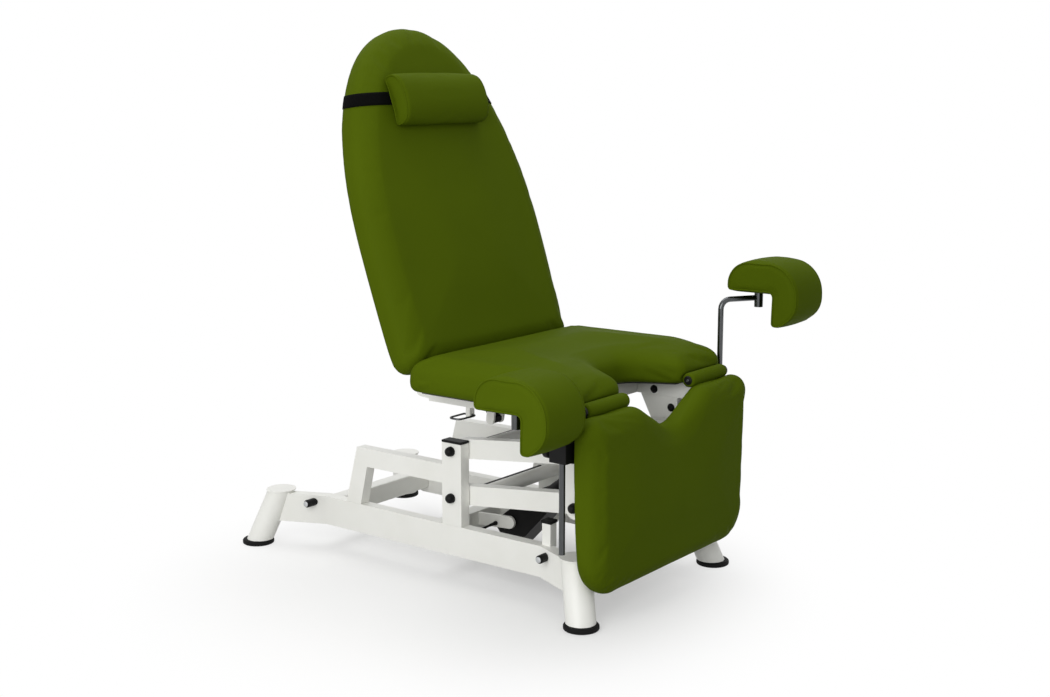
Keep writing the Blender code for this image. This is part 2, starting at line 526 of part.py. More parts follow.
SPRING = pivot("gas_spring_axis", SPRING_AT)
BACK = pivot("backrest_axis", BACK_AT)
SPRING_END = pivot("gas_rod_axis", SPRING_TOP)
STEP_OUT = UPRIGHT_W / 2
for word, side, pad_z in SIDES:
    lo, hi = flip(side, RAIL_IN, RAIL_OUT)
    top = SEAT_BAR_Z - GAP
    y0, z0 = LOW_FRONT.y, LOW_FRONT.z
    low_arc = [(y0 + STEP_OUT * math.cos(a), z0 + STEP_OUT * math.sin(a))
               for a in (math.pi + math.pi * k / 10 for k in range(11))]
    line = low_arc + [(y0 + STEP_OUT, z0 + PIVOT_RISE - 0.02), (y0 - STEP_OUT + UPRIGHT_TOP_W, top),
                      (y0 - STEP_OUT, top)]
    upright = solid(word + "_upright", slab(line, FLANK, lo, hi), WHITE, CARRIAGE)
    for at in (LOW_FRONT, TOP_FRONT):
        cut(upright, across(at, lo - 0.02, hi + 0.02, PIN_HOLE))

    seat_bar = solid(word + "_seat_bar", box((lo, SEAT_BAR_FRONT, SEAT_BAR_Z), (hi, SEAT_BAR_REAR, SEAT_TOP_Z)),
                     WHITE, CARRIAGE)
    ear = flip(side, BACK_EAR_OUT - BACK_EAR_T, BACK_EAR_OUT)
    ear_line = stadium((SEAT_BAR_REAR - 0.02, BACK_Z - 0.004), (BACK_Y, BACK_Z), BACK_EAR_R)
    weld(seat_bar, slab(ear_line, FLANK, *ear))
    ear_pin = flip(side, RAIL_IN, BACK_EAR_OUT - 0.001)
    weld(seat_bar, across(BACK_AT, *ear_pin, BACK_PIN_D / 2))
    if side < 0:
        lug = BAIL_LUG_W / 2
        weld(seat_bar, box((-BAIL_X - lug, BAIL_Y - BAIL_LUG_T / 2, BAIL_Z - lug * 0.8),
                           (-BAIL_X + lug, BAIL_Y + BAIL_LUG_T / 2, SEAT_BAR_Z + 0.005)))
        cut(seat_bar, bar((-BAIL_X, BAIL_Y - 0.02, BAIL_Z), (-BAIL_X, BAIL_Y + 0.02, BAIL_Z),
                          BAIL_D / 2 + PIN_PLAY, 16))

    clamp_at = Vector((side * ROD_X, ROD_Y, CLAMP_Z))
    half = Vector((CLAMP_X / 2, CLAMP_Y / 2, CLAMP_H / 2))
    clamp = solid(word + "_clamp", box(clamp_at - half, clamp_at + half), GREY, CARRIAGE)
    neck_out = ROD_X - CLAMP_X / 2 + 0.002
    arm = flip(side, RAIL_OUT + GAP, neck_out - 0.001)
    neck = flip(side, neck_out - NECK_W, neck_out)
    weld(clamp, across((0, ROD_Y, CLAMP_ARM_Z), *arm, CLAMP_ARM_D / 2),
         box((neck[0], ROD_Y - 0.013, CLAMP_Z - CLAMP_H / 2 + 0.002),
             (neck[1], ROD_Y + 0.013, CLAMP_ARM_Z + CLAMP_ARM_D / 2 + 0.002)))
    ear = flip(side, ROLL_OUT + 0.002, ROLL_OUT + 0.002 + FLAP_EAR_T)
    weld(clamp, slab(stadium((ROD_Y, CLAMP_ARM_Z), (FLAP_Y, FLAP_Z), FLAP_EAR_R), FLANK, *ear))
    ear_pin = flip(side, ROLL_OUT - ROLL_PIN_IN, ROLL_OUT + 0.002 + FLAP_EAR_T / 2)
    weld(clamp, across((0, FLAP_Y, FLAP_Z), *ear_pin, ROLL_PIN_D / 2))
    bore = BUSH_D / 2 + PIN_PLAY
    cut(clamp, bar(clamp_at - Vector((0, 0, CLAMP_H)), clamp_at + Vector((0, 0, CLAMP_H)), bore),
        bar(clamp_at, clamp_at + Vector((0, CLAMP_Y, 0)), KNOB_SCREW_D / 2 + PIN_PLAY, 16))

    SWIVEL = pivot(word + "_stirrup_axis", clamp_at)
    low, high = -CLAMP_H / 2, CLAMP_H / 2 + GAP
    hole, ring, lip = ROD_D / 2 + PIN_PLAY, BUSH_D / 2, BUSH_FLANGE_D / 2
    bush_line = [(0, low), (ring, low), (ring, high), (lip, high), (lip, high + BUSH_FLANGE_T),
                 (0, high + BUSH_FLANGE_T)]
    bush = solid(word + "_bush", turned(bush_line, clamp_at, (0, 0, 1)), BLACK, SWIVEL)
    cut(bush, bar(clamp_at - Vector((0, 0, 0.05)), clamp_at + Vector((0, 0, 0.05)), hole))
    SCREW = pivot(word + "_knob_axis", clamp_at + Vector((0, CLAMP_Y / 2, 0)))
    s, k = KNOB_SCREW_D / 2, KNOB_D / 2
    start, seat = BUSH_D / 2 + PIN_PLAY + GAP, CLAMP_Y / 2 + 0.003
    solid(word + "_clamp_knob", turned([(0, start), (s, start), (s, seat), (k * 0.55, seat), (k, seat + 0.006),
                                        (k, seat + KNOB_H - 0.005), (k - 0.005, seat + KNOB_H),
                                        (0, seat + KNOB_H)], clamp_at, (0, 1, 0)), BLACK, SCREW)

    reach_y = math.sqrt(ROD_REACH ** 2 - ROD_REACH_X ** 2)
    boss_at = Vector((side * (ROD_X + ROD_REACH_X), ROD_Y - side * reach_y, pad_z))
    arm_z = pad_z - PAD_ARM_LOW
    foot = Vector((side * ROD_X, ROD_Y, arm_z - ROD_DROP))
    bend = Vector((side * ROD_X, ROD_Y, arm_z))
    way = Vector((boss_at.x, boss_at.y, arm_z)) - bend
    way.normalize()
    line = [foot, bend - Vector((0, 0, ROD_BEND))]
    for step in range(1, 7):
        a = math.pi / 2 * step / 6
        line.append(bend + (way * (1 - math.cos(a)) + Vector((0, 0, math.sin(a) - 1))) * ROD_BEND)
    line.append(bend + way * (ROD_REACH - BOSS_D / 4))
    SLIDE = pivot(word + "_rod_axis", clamp_at)
    rod = solid(word + "_stirrup_rod", wire(line, ROD_D / 2, sides=4), STEEL, SLIDE)
    weld(rod, bar(boss_at - Vector((0, 0, BOSS_LOW)), boss_at - Vector((0, 0, BOSS_HIGH)), BOSS_D / 2))
    cut(rod, bar(boss_at - Vector((0, 0, BOSS_LOW - 0.006)), boss_at, PAD_PIN_D / 2 + PIN_PLAY, 20))
    TURN = pivot(word + "_pad_axis", boss_at)
    f, p = PAD_FLANGE_D / 2, PAD_PIN_D / 2
    top = -GAP
    under = -BOSS_HIGH + GAP
    solid(word + "_pad_mount", turned([(0, -BOSS_LOW + 0.008), (p, -BOSS_LOW + 0.008), (p, under), (f, under),
                                       (f, top), (0, top)], boss_at, (0, 0, 1)), BLACK, TURN)
    front = -PAD_INNER - PAD_FRONT_T
    outline = fillet([(-PAD_INNER, -PAD_DROP, 0.010), (-PAD_INNER, 0, 0.010), (PAD_REAR, 0, 0.012),
                      (PAD_REAR, PAD_LIMB, PAD_REAR_R), (front, PAD_LIMB, PAD_ROUND),
                      (front, -PAD_TOE, PAD_HEEL_R), (-PAD_INNER - PAD_TIP, -PAD_DROP, 0.012)])
    knee = solid(word + "_knee_pad", slab(outline, axes(boss_at, (0, 1, 0), (0, 0, 1)), -PAD_W / 2, PAD_W / 2),
                 VINYL, TURN)
    soften(knee, 0.006)

for name, y in (("front_seat_cross", SEAT_CROSS_Y), ("rear_seat_cross", SPRING_Y - 0.012)):
    ob = solid(name, box((-RAIL_IN + GAP, y - SEAT_CROSS_W / 2, SEAT_BAR_Z),
                         (RAIL_IN - GAP, y + SEAT_CROSS_W / 2, SEAT_TOP_Z)), WHITE, CARRIAGE)
    if name.startswith("rear"):
        inner = SPRING_EYE_W / 2 + 0.002
        for side in (-1, 1):
            lug = flip(side, inner, inner + SPRING_LUG_T)
            weld(ob, slab(stadium((SPRING_Y, SPRING_Z), (y, SEAT_BAR_Z + 0.012), 0.012), FLANK, *lug))
        weld(ob, across(SPRING_AT, -inner - SPRING_LUG_T / 2, inner + SPRING_LUG_T / 2, SPRING_PIN_D / 2))


def seat_line(by):
    return fillet(mirror_corners([(NOTCH_W / 2, SEAT_FRONT + NOTCH_DEEP, NOTCH_R),
                                  (NOTCH_MOUTH / 2, SEAT_FRONT, LOBE_R),
                                  (SEAT_W / 2, SEAT_FRONT, SEAT_FRONT_R),
                                  (SEAT_W / 2, SEAT_REAR, SEAT_REAR_R)]), 5, by)


SEAT_MID = (0, SEAT_FRONT + (SEAT_REAR - SEAT_FRONT) * 0.6)
board_z = SEAT_TOP_Z + GAP
solid("seat_board", slab(seat_line(BOARD_IN), Matrix(), board_z, board_z + BOARD_T), PLY, CARRIAGE)
seat_pad = solid("seat_cushion", cushion(seat_line, SEAT_MID, Matrix.Translation((0, 0, board_z + RIM_LIFT)),
                                         SEAT_EDGE, SEAT_CROWN), VINYL, CARRIAGE)
cut(seat_pad, slab(seat_line(BOARD_IN - GAP), Matrix(), board_z - 0.01, board_z + BOARD_T + GAP))
for side in (-1, 1):
    room = flip(side, ROLL_IN - ROLL_ROOM, ROLL_OUT + ROLL_ROOM)
    cut(seat_pad, across((0, FLAP_Y, FLAP_Z), *room, ROLL_D / 2 + ROLL_ROOM, 24))
    ear = flip(side, ROLL_OUT, ROLL_OUT + 0.004 + FLAP_EAR_T)
    cut(seat_pad, slab(stadium((ROD_Y, CLAMP_ARM_Z), (FLAP_Y, FLAP_Z), FLAP_EAR_R + ROLL_ROOM), FLANK, *ear))

BAIL = pivot("bail_axis", (-BAIL_X, BAIL_Y, BAIL_Z))
bail_line = []
for x, y in fillet([(-BAIL_X, BAIL_Y - BAIL_W / 2, 0.006), (-BAIL_X, BAIL_Y + BAIL_W / 2, 0.006),
                    (-BAIL_X - BAIL_REACH, BAIL_Y + BAIL_W / 2, 0.012),
                    (-BAIL_X - BAIL_REACH, BAIL_Y - BAIL_W / 2, 0.012)], 3):
    bail_line.append((x, y, BAIL_Z))
solid("release_bail", wire(bail_line, BAIL_D / 2, True, 2), STEEL, BAIL)


def back_line(by):
    """Corner arc, parabola up to the widest place and half an ellipse over the top."""
    foot, wide, low, top = BACK_FOOT_W / 2 - by, BACK_W / 2 - by, BACK_LOW + by, BACK_TOP - by
    r = max(BACK_R - by, LEAST_R)
    half = []
    for k in range(6):
        a = math.pi / 2 * k / 5
        half.append((foot - r + r * math.sin(a), low + r - r * math.cos(a)))
    for k in range(1, 5):
        t = k / 5
        half.append((foot + (wide - foot) * (1 - (1 - t) ** 2), low + r + (BACK_WIDE - low - r) * t))
    for k in range(15):
        a = math.pi / 2 * k / 15
        c, s = math.cos(a) ** BACK_FULL, math.sin(a) ** BACK_FULL
        half.append((wide * c, BACK_WIDE + (top - BACK_WIDE) * s))
    return [Vector(p) for p in half + [(0, top)] + [(-x, y) for x, y in reversed(half)]]


board_n = BACK_PLATE_N + GAP
back_board = solid("backrest_board", slab(back_line(BOARD_IN), BACK_FACE, board_n, board_n + BOARD_T), PLY, BACK)
back_pad = solid("backrest_cushion", cushion(back_line, (0, (BACK_LOW + BACK_TOP) * 0.45),
                                             BACK_FACE @ Matrix.Translation((0, 0, board_n + RIM_LIFT)),
                                             BACK_EDGE, BACK_CROWN), VINYL, BACK)
cut(back_pad, slab(back_line(BOARD_IN - GAP), BACK_FACE, board_n - 0.01, board_n + BOARD_T + GAP))
plate_out = BACK_EAR_OUT - BACK_EAR_T - 0.004
rounded = stadium((0, 0), (0.03, 0), 0.0149)
strip = rounded[len(rounded) // 2:] + [(BACK_PLATE_LEN, BACK_PLATE_N - BACK_PLATE_DEEP),
                                       (BACK_PLATE_LEN, BACK_PLATE_N)]
back_frame = None
for side in (1, -1):
    span = flip(side, plate_out - BACK_PLATE_T, plate_out)
    if back_frame is None:
        back_frame = solid("backrest_frame", slab(strip, BACK_FLANK, *span), WHITE, BACK)
    else:
        weld(back_frame, slab(strip, BACK_FLANK, *span))
bar_n = BACK_PLATE_N - BACK_PLATE_DEEP * 0.8
cross = slab([(SPRING_UP - 0.02, bar_n), (SPRING_UP + 0.02, bar_n), (SPRING_UP + 0.02, BACK_PLATE_N - 0.001),
              (SPRING_UP - 0.02, BACK_PLATE_N - 0.001)], BACK_FLANK, -plate_out + 0.002, plate_out - 0.002)
weld(back_frame, cross)
inner = SPRING_EYE_W / 2 + 0.002
for side in (-1, 1):
    lug = flip(side, inner, inner + SPRING_LUG_T)
    weld(back_frame, slab(stadium((SPRING_UP, SPRING_BACK), (SPRING_UP, bar_n + 0.004), 0.011), BACK_FLANK, *lug))
weld(back_frame, across(SPRING_TOP, -inner - SPRING_LUG_T / 2, inner + SPRING_LUG_T / 2, SPRING_PIN_D / 2))
cut(back_frame, across(BACK_AT, -plate_out - 0.01, plate_out + 0.01, BACK_PIN_D / 2 + PIN_PLAY))

eye = SPRING_EYE_W / 2
cylinder = solid("gas_cylinder", bar(SPRING_AT + SPRING_WAY * 0.006, SPRING_AT + SPRING_WAY * SPRING_LEN,
                                     SPRING_D / 2), BLACK, SPRING)
weld(cylinder, across(SPRING_AT, -eye, eye, SPRING_EYE_D / 2))
cut(cylinder, bar(SPRING_AT + SPRING_WAY * 0.03, SPRING_AT + SPRING_WAY * (SPRING_LEN + 0.01), SPRING_BORE / 2),
    across(SPRING_AT, -0.05, 0.05, SPRING_PIN_D / 2 + PIN_PLAY))
gas_rod = solid("gas_rod", bar(SPRING_AT + SPRING_WAY * SPRING_ROD_IN, SPRING_TOP - SPRING_WAY * 0.006,
                               SPRING_ROD_D / 2), STEEL, SPRING_END)
weld(gas_rod, across(SPRING_TOP, -eye, eye, SPRING_EYE_D / 2))
cut(gas_rod, across(SPRING_TOP, -0.05, 0.05, SPRING_PIN_D / 2 + PIN_PLAY))

# The strap follows the taut line round the cushion and its board.
graph = bpy.context.evaluated_depsgraph_get()
trees = [BVHTree.FromObject(ob, graph) for ob in (back_pad, back_board)]
to_back = BACK_FACE.inverted()
edges = {-STRAP_W / 2: [], 0: [], STRAP_W / 2: []}
for k in range(720):
    angle = math.tau * k / 720
    way = Vector((math.cos(angle), 0, math.sin(angle) * 0.12)).normalized()
    for lift, edge in edges.items():
        far = Vector((0, PILLOW_UP + lift, board_n + BOARD_T)) + way
        for tree in trees:
            there = tree.ray_cast(BACK_FACE @ far - back_pad.matrix_world.translation,
                                  (BACK_FACE.to_3x3() @ -way))[0]
            if there is not None:
                near = to_back @ (there + back_pad.matrix_world.translation)
                edge.append(Vector((near.x, near.z)))
wide = {lift: max(p.x for p in edge) for lift, edge in edges.items()}


def taper(lift):
    part = lift / STRAP_W + 0.5
    return 1 + (wide[STRAP_W / 2] / wide[-STRAP_W / 2] - 1) * part


def tapered(bm):
    """The band narrows upwards with the cushion."""
    for v in bm.verts:
        there = STRAP_FACE.inverted() @ v.co
        there.x *= taper(-there.z)
        v.co = STRAP_FACE @ there
    return bm


hits = [Vector((p.x / taper(lift), p.y)) for lift, edge in edges.items() for p in edge]
hits.sort(key=lambda p: (p.x, p.y))


def half_hull(points):
    hull = []
    for p in points:
        while len(hull) > 1 and (hull[-1] - hull[-2]).cross(p - hull[-1]) <= 1e-12:
            hull.pop()
        hull.append(p)
    return hull


taut = half_hull(hits)[:-1] + half_hull(hits[::-1])[:-1]
thinned = [taut[0]]
for p in taut[1:]:
    if (p - thinned[-1]).length > 0.002:
        thinned.append(p)
STRAP_FACE = axes(BACK_AT + UP_BACK * PILLOW_UP, (1, 0, 0), OUT_BACK)
strap = solid("pillow_strap", tapered(slab(inset(thinned, -3 * GAP - STRAP_T), STRAP_FACE,
                                           -STRAP_W / 2, STRAP_W / 2)), BLACK, BACK)
cut(strap, tapered(slab(inset(thinned, -3 * GAP), STRAP_FACE, -STRAP_W, STRAP_W)))
pillow_n = max(p.y for p in thinned) + STRAP_T + 4 * GAP
arch = [(-PILLOW_H / 2 + 0.004, 0), (PILLOW_H / 2 - 0.004, 0)]
for k in range(15):
    a = math.pi * k / 14
    c, s = math.cos(a), math.sin(a)
    arch.append((PILLOW_H / 2 * math.copysign(abs(c) ** 0.8, c), 0.012 + (PILLOW_DEEP - 0.012) * abs(s) ** 0.8))
pillow = solid("head_pillow", slab([(PILLOW_UP + a, pillow_n + n) for a, n in arch], BACK_FLANK,
                                   PILLOW_X - PILLOW_L / 2, PILLOW_X + PILLOW_L / 2), VINYL, BACK)
soften(pillow, 0.005)

FLAP = pivot("flap_axis", (0, FLAP_Y, FLAP_Z))
FLAP_FACE = axes((0, FLAP_Y, 0), (1, 0, 0), (0, 0, 1))


def flap_line(by):
    side = [(FLAP_LOW_W / 2, FLAP_LOW, FLAP_LOW_R), (FLAP_W / 2, FLAP_TOP, FLAP_TOP_R),
            (FLAP_NOTCH_W / 2, FLAP_TOP, FLAP_LOBE_R)]
    corners = mirror_corners(side)
    corners.insert(len(side), (0, FLAP_NOTCH, FLAP_NOTCH_R))
    return fillet(corners, 5, by)


half_t = FLAP_BOARD_T / 2
flap_board = solid("flap_board", slab(flap_line(FLAP_BOARD_IN), FLAP_FACE, -half_t, half_t), PLY, FLAP)
flap_pad = solid("flap_cushion", cushion(flap_line, (0, (FLAP_LOW + FLAP_NOTCH) * 0.52), FLAP_FACE, FLAP_EDGE,
                                         FLAP_CROWN), VINYL, FLAP)
cut(flap_pad, slab(flap_line(FLAP_BOARD_IN - GAP), FLAP_FACE, -half_t - 0.01, half_t + GAP))
for word, side, pad_z in SIDES:
    tab = flip(side, TAB_IN, TAB_OUT)
    weld(flap_board, box((tab[0], FLAP_Y - half_t, TAB_LOW), (tab[1], FLAP_Y + half_t, TAB_TOP)))
    cut(flap_pad, box((tab[0] - GAP, FLAP_Y - half_t - GAP, TAB_LOW), (tab[1] + GAP, FLAP_Y + 0.02, FLAP_Z)))
    span = flip(side, ROLL_IN, ROLL_OUT)
    roll = solid(word + "_flap_roll", across((0, FLAP_Y, FLAP_Z), *span, ROLL_D / 2), VINYL, FLAP)
    soften(roll, 0.004)
    cut(roll, box((tab[0] - GAP, FLAP_Y - half_t - GAP, FLAP_Z - ROLL_D), (tab[1] + GAP, FLAP_Y + half_t + GAP,
                                                                        TAB_TOP + GAP)),
        across((0, FLAP_Y, FLAP_Z), *flip(side, ROLL_OUT - ROLL_PIN_IN - 0.002, ROLL_OUT + 0.01),
               ROLL_PIN_D / 2 + PIN_PLAY))
    room = flip(side, ROLL_IN - 0.004, ROLL_OUT + 0.008 + FLAP_EAR_T)
    slot = flip(side, ROLL_OUT, ROLL_OUT + 0.004 + FLAP_EAR_T)
    cut(flap_pad, across((0, FLAP_Y, FLAP_Z), *room, ROLL_D / 2 + 2 * GAP, 24),
        across((0, FLAP_Y, FLAP_Z), *slot, FLAP_EAR_ROOM, 24))
    cut(flap_board, across((0, FLAP_Y, FLAP_Z), *flip(side, ROLL_IN - 0.004, TAB_IN), ROLL_D / 2 + 2 * GAP, 24),
        across((0, FLAP_Y, FLAP_Z), *flip(side, TAB_OUT, ROLL_OUT + 0.012), ROLL_D / 2 + 2 * GAP, 24))
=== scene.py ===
import json
import math

import bmesh
import bpy
from mathutils import Matrix, Vector
from mathutils.bvhtree import BVHTree
from mathutils.kdtree import KDTree

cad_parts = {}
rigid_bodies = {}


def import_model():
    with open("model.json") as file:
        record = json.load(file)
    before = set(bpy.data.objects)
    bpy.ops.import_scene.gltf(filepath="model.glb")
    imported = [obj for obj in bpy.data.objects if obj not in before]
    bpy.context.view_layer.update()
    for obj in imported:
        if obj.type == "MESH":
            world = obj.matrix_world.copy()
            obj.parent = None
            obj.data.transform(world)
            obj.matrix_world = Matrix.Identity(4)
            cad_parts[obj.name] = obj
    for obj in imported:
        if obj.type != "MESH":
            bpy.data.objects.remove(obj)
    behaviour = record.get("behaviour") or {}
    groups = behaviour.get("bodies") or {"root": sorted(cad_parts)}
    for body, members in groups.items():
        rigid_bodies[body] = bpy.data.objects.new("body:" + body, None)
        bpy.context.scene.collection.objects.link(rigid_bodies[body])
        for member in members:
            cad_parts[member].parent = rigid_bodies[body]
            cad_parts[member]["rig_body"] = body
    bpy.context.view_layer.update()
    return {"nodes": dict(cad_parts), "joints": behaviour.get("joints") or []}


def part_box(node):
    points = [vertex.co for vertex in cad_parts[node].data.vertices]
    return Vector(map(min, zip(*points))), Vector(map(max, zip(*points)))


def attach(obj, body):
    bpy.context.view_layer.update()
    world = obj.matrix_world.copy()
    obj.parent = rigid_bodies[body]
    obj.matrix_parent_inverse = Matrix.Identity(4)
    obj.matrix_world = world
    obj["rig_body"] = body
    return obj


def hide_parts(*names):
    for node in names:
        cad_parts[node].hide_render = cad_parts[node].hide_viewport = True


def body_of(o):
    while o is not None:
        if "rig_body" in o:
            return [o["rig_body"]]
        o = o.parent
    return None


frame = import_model()
nodes = frame["nodes"]
scene = bpy.context.scene
scene.view_settings.view_transform = "Standard"
mm = 0.001
tiny = 1e-9  # keeps a division off zero
jointAt = {joint["name"]: Vector(joint["pos_m"]) for joint in frame["joints"] if joint.get("pos_m")}
frontFeet = sum(corner.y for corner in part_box("front_right_foot")) / 2
print("frame loaded:", len(nodes), "solids")


def linear(hexColour):
    parts = [int(hexColour[i:i + 2], 16) / 255 for i in (1, 3, 5)]
    return [p / 12.92 if p <= 0.04045 else ((p + 0.055) / 1.055) ** 2.4 for p in parts] + [1.0]


def addNode(tree, kind, settings=None, links=None):
    node = tree.nodes.new(kind)
    for key, value in (settings or {}).items():
        if isinstance(key, int) or key in node.inputs:
            node.inputs[key].default_value = value
        else:
            setattr(node, key, value)
    for key, socket in (links or {}).items():
        tree.links.new(socket, node.inputs[key])
    return node


def newMaterial(name):
    material = bpy.data.materials.new(name)
    material.use_nodes = True
    tree = material.node_tree
    return material, tree, tree.nodes["Principled BSDF"]


def perMetre(size):
    return 1.0 / (size * mm)  # a pattern's scale from its real size in millimetres


# Camera at the photograph's angle.
cameraLook = {"at": (-2.862, frontFeet - 1.80685, 1.2), "tip": 79.765, "pan": -52.67,
              "lens": 51.06, "sensor": 36.0}
camera = bpy.data.cameras.new("camera")
camera.lens = cameraLook["lens"]
camera.sensor_width = cameraLook["sensor"]
cameraObject = bpy.data.objects.new("camera", camera)
cameraObject.location = cameraLook["at"]
cameraObject.rotation_euler = (math.radians(cameraLook["tip"]), 0, math.radians(cameraLook["pan"]))
scene.collection.objects.link(cameraObject)
scene.camera = cameraObject


# Upholstery vinyl: knitted cloth coated with soft PVC and embossed with a fine leather grain.
# It gives a deep, even olive with a broad dull sheen and no hard glints.
vinylLook = {"colour": "#4E5F09", "shade": "#495908", "cloud": 160, "pebble": 2.4, "stretch": 11,
             "rough": (0.61, 0.72)}


def makeVinyl():
    material, tree, shader = newMaterial("embossedVinyl")
    place = addNode(tree, "ShaderNodeTexCoord").outputs["Object"]
    cloud = addNode(tree, "ShaderNodeTexNoise", {"Scale": perMetre(vinylLook["cloud"]), "Detail": 3.0},
                    {"Vector": place})
    ramp = addNode(tree, "ShaderNodeValToRGB", {}, {"Fac": cloud.outputs["Fac"]})
    ramp.color_ramp.elements[0].color = linear(vinylLook["shade"])
    ramp.color_ramp.elements[1].color = linear(vinylLook["colour"])
    tree.links.new(ramp.outputs["Color"], shader.inputs["Base Color"])
    # the real emboss is under 1 mm and is drawn coarser so that it shows
    pebble = addNode(tree, "ShaderNodeTexVoronoi",
                     {"feature": "DISTANCE_TO_EDGE", "Scale": perMetre(vinylLook["pebble"])},
                     {"Vector": place})
    wave = addNode(tree, "ShaderNodeTexNoise", {"Scale": perMetre(vinylLook["stretch"]), "Detail": 2.0},
                   {"Vector": place})
    smoothest, dullest = vinylLook["rough"]
    rough = addNode(tree, "ShaderNodeMapRange", {"To Min": smoothest, "To Max": dullest},
                    {"Value": wave.outputs["Fac"]})
    tree.links.new(rough.outputs["Result"], shader.inputs["Roughness"])
    grain = addNode(tree, "ShaderNodeBump", {"Strength": 0.20, "Distance": 0.25 * mm},
                    {"Height": pebble.outputs["Distance"]})
    soft = addNode(tree, "ShaderNodeBump", {"Strength": 0.08, "Distance": 0.8 * mm},
                   {"Height": wave.outputs["Fac"], "Normal": grain.outputs["Normal"]})
    tree.links.new(soft.outputs["Normal"], shader.inputs["Normal"])
    shader.inputs["Specular IOR Level"].default_value = 0.02  # matting lacquer keeps the olive from greying
    return material


# Powder-coated steel: baked polyester paint that levels to a faint orange peel.
# It gives a warm white with a wide, slightly rippled highlight and grey where dirt settles.
paintLook = {"colour": "#F3F3EE", "dust": "#EFEFE9", "peel": 2.6, "cloud": 90, "rough": 0.36}


def makePaint():
    material, tree, shader = newMaterial("powderCoatedSteel")
    place = addNode(tree, "ShaderNodeTexCoord").outputs["Object"]
    cloud = addNode(tree, "ShaderNodeTexNoise", {"Scale": perMetre(paintLook["cloud"]), "Detail": 4.0},
                    {"Vector": place})
    ramp = addNode(tree, "ShaderNodeValToRGB", {}, {"Fac": cloud.outputs["Fac"]})
    ramp.color_ramp.elements[0].color = linear(paintLook["dust"])
    ramp.color_ramp.elements[0].position = 0.25
    ramp.color_ramp.elements[1].color = linear(paintLook["colour"])
    ramp.color_ramp.elements[1].position = 0.6
    tree.links.new(ramp.outputs["Color"], shader.inputs["Base Color"])
    peel = addNode(tree, "ShaderNodeTexNoise", {"Scale": perMetre(paintLook["peel"]), "Detail": 1.0},
                   {"Vector": place})
    bump = addNode(tree, "ShaderNodeBump", {"Strength": 0.10, "Distance": 0.12 * mm},
                   {"Height": peel.outputs["Fac"]})
    tree.links.new(bump.outputs["Normal"], shader.inputs["Normal"])
    shader.inputs["Roughness"].default_value = paintLook["rough"]
    shader.inputs["Specular IOR Level"].default_value = 0.35
    return material


def makeMetal(name, look):
    material, tree, shader = newMaterial(name)
    place = addNode(tree, "ShaderNodeTexCoord").outputs["Object"]
    streaks = addNode(tree, "ShaderNodeMapping", {"Scale": look["stretch"]}, {"Vector": place})
    lines = addNode(tree, "ShaderNodeTexNoise", {"Scale": perMetre(look["line"]), "Detail": 3.0},
                    {"Vector": streaks.outputs["Vector"]})
    ramp = addNode(tree, "ShaderNodeValToRGB", {}, {"Fac": lines.outputs["Fac"]})
    ramp.color_ramp.elements[0].color = linear(look["dark"])
    ramp.color_ramp.elements[1].color = linear(look["colour"])
    tree.links.new(ramp.outputs["Color"], shader.inputs["Base Color"])
    smoothest, dullest = look["rough"]
    rough = addNode(tree, "ShaderNodeMapRange", {"To Min": smoothest, "To Max": dullest},
                    {"Value": lines.outputs["Fac"]})
    tree.links.new(rough.outputs["Result"], shader.inputs["Roughness"])
    bump = addNode(tree, "ShaderNodeBump", {"Strength": 0.06, "Distance": 0.05 * mm},
                   {"Height": lines.outputs["Fac"]})
    tree.links.new(bump.outputs["Normal"], shader.inputs["Normal"])
    shader.inputs["Metallic"].default_value = 1.0
    return material


# Drawn stainless rod, polished along its length: long fine streaks and a sharp reflection.
rodLook = {"colour": "#626465", "dark": "#454748", "line": 1.5, "stretch": (1.0, 1.0, 0.06),
           "rough": (0.16, 0.30)}
# Zinc-plated plate: cooler and duller, with a faint spangle.
plateLook = {"colour": "#C9CBCC", "dark": "#B2B5B7", "line": 7.0, "stretch": (1.0, 1.0, 1.0),
             "rough": (0.36, 0.50)}


def makeMoulded(name, look):
    material, tree, shader = newMaterial(name)
    place = addNode(tree, "ShaderNodeTexCoord").outputs["Object"]
    spark = addNode(tree, "ShaderNodeTexNoise", {"Scale": perMetre(look["grit"]), "Detail": 2.0},
                    {"Vector": place})
    bloom = addNode(tree, "ShaderNodeTexNoise", {"Scale": perMetre(look["bloom"]), "Detail": 3.0},
                    {"Vector": place})
    ramp = addNode(tree, "ShaderNodeValToRGB", {}, {"Fac": bloom.outputs["Fac"]})
    ramp.color_ramp.elements[0].color = linear(look["colour"])
    ramp.color_ramp.elements[1].color = linear(look["pale"])
    tree.links.new(ramp.outputs["Color"], shader.inputs["Base Color"])
    bump = addNode(tree, "ShaderNodeBump", {"Strength": 0.25, "Distance": 0.08 * mm},
                   {"Height": spark.outputs["Fac"]})
    tree.links.new(bump.outputs["Normal"], shader.inputs["Normal"])
    shader.inputs["Roughness"].default_value = look["rough"]
    shader.inputs["Specular IOR Level"].default_value = 0.14
    return material


# Moulded polyamide: spark-eroded mould texture, satin black.
plasticLook = {"colour": "#0C0C0C", "pale": "#141414", "grit": 0.9, "bloom": 25, "rough": 0.5}
# Moulded rubber: matt, with a grey bloom where it is handled.
rubberLook = {"colour": "#0B0B0B", "pale": "#161616", "grit": 1.2, "bloom": 14, "rough": 0.72}
# Lacquered steel casting: smoother than the plastic, with a broad grey highlight along its edges.
lacquerLook = {"colour": "#101010", "pale": "#1A1A1A", "grit": 0.6, "bloom": 40, "rough": 0.38}

# Stained plywood: rotary-cut veneer under black stain, whose long loose grain still shows as a ripple.
boardLook = {"colour": "#1D1B19", "dark": "#11100F", "grain": 9, "stretch": (1.0, 0.12, 0.12), "rough": 0.6}


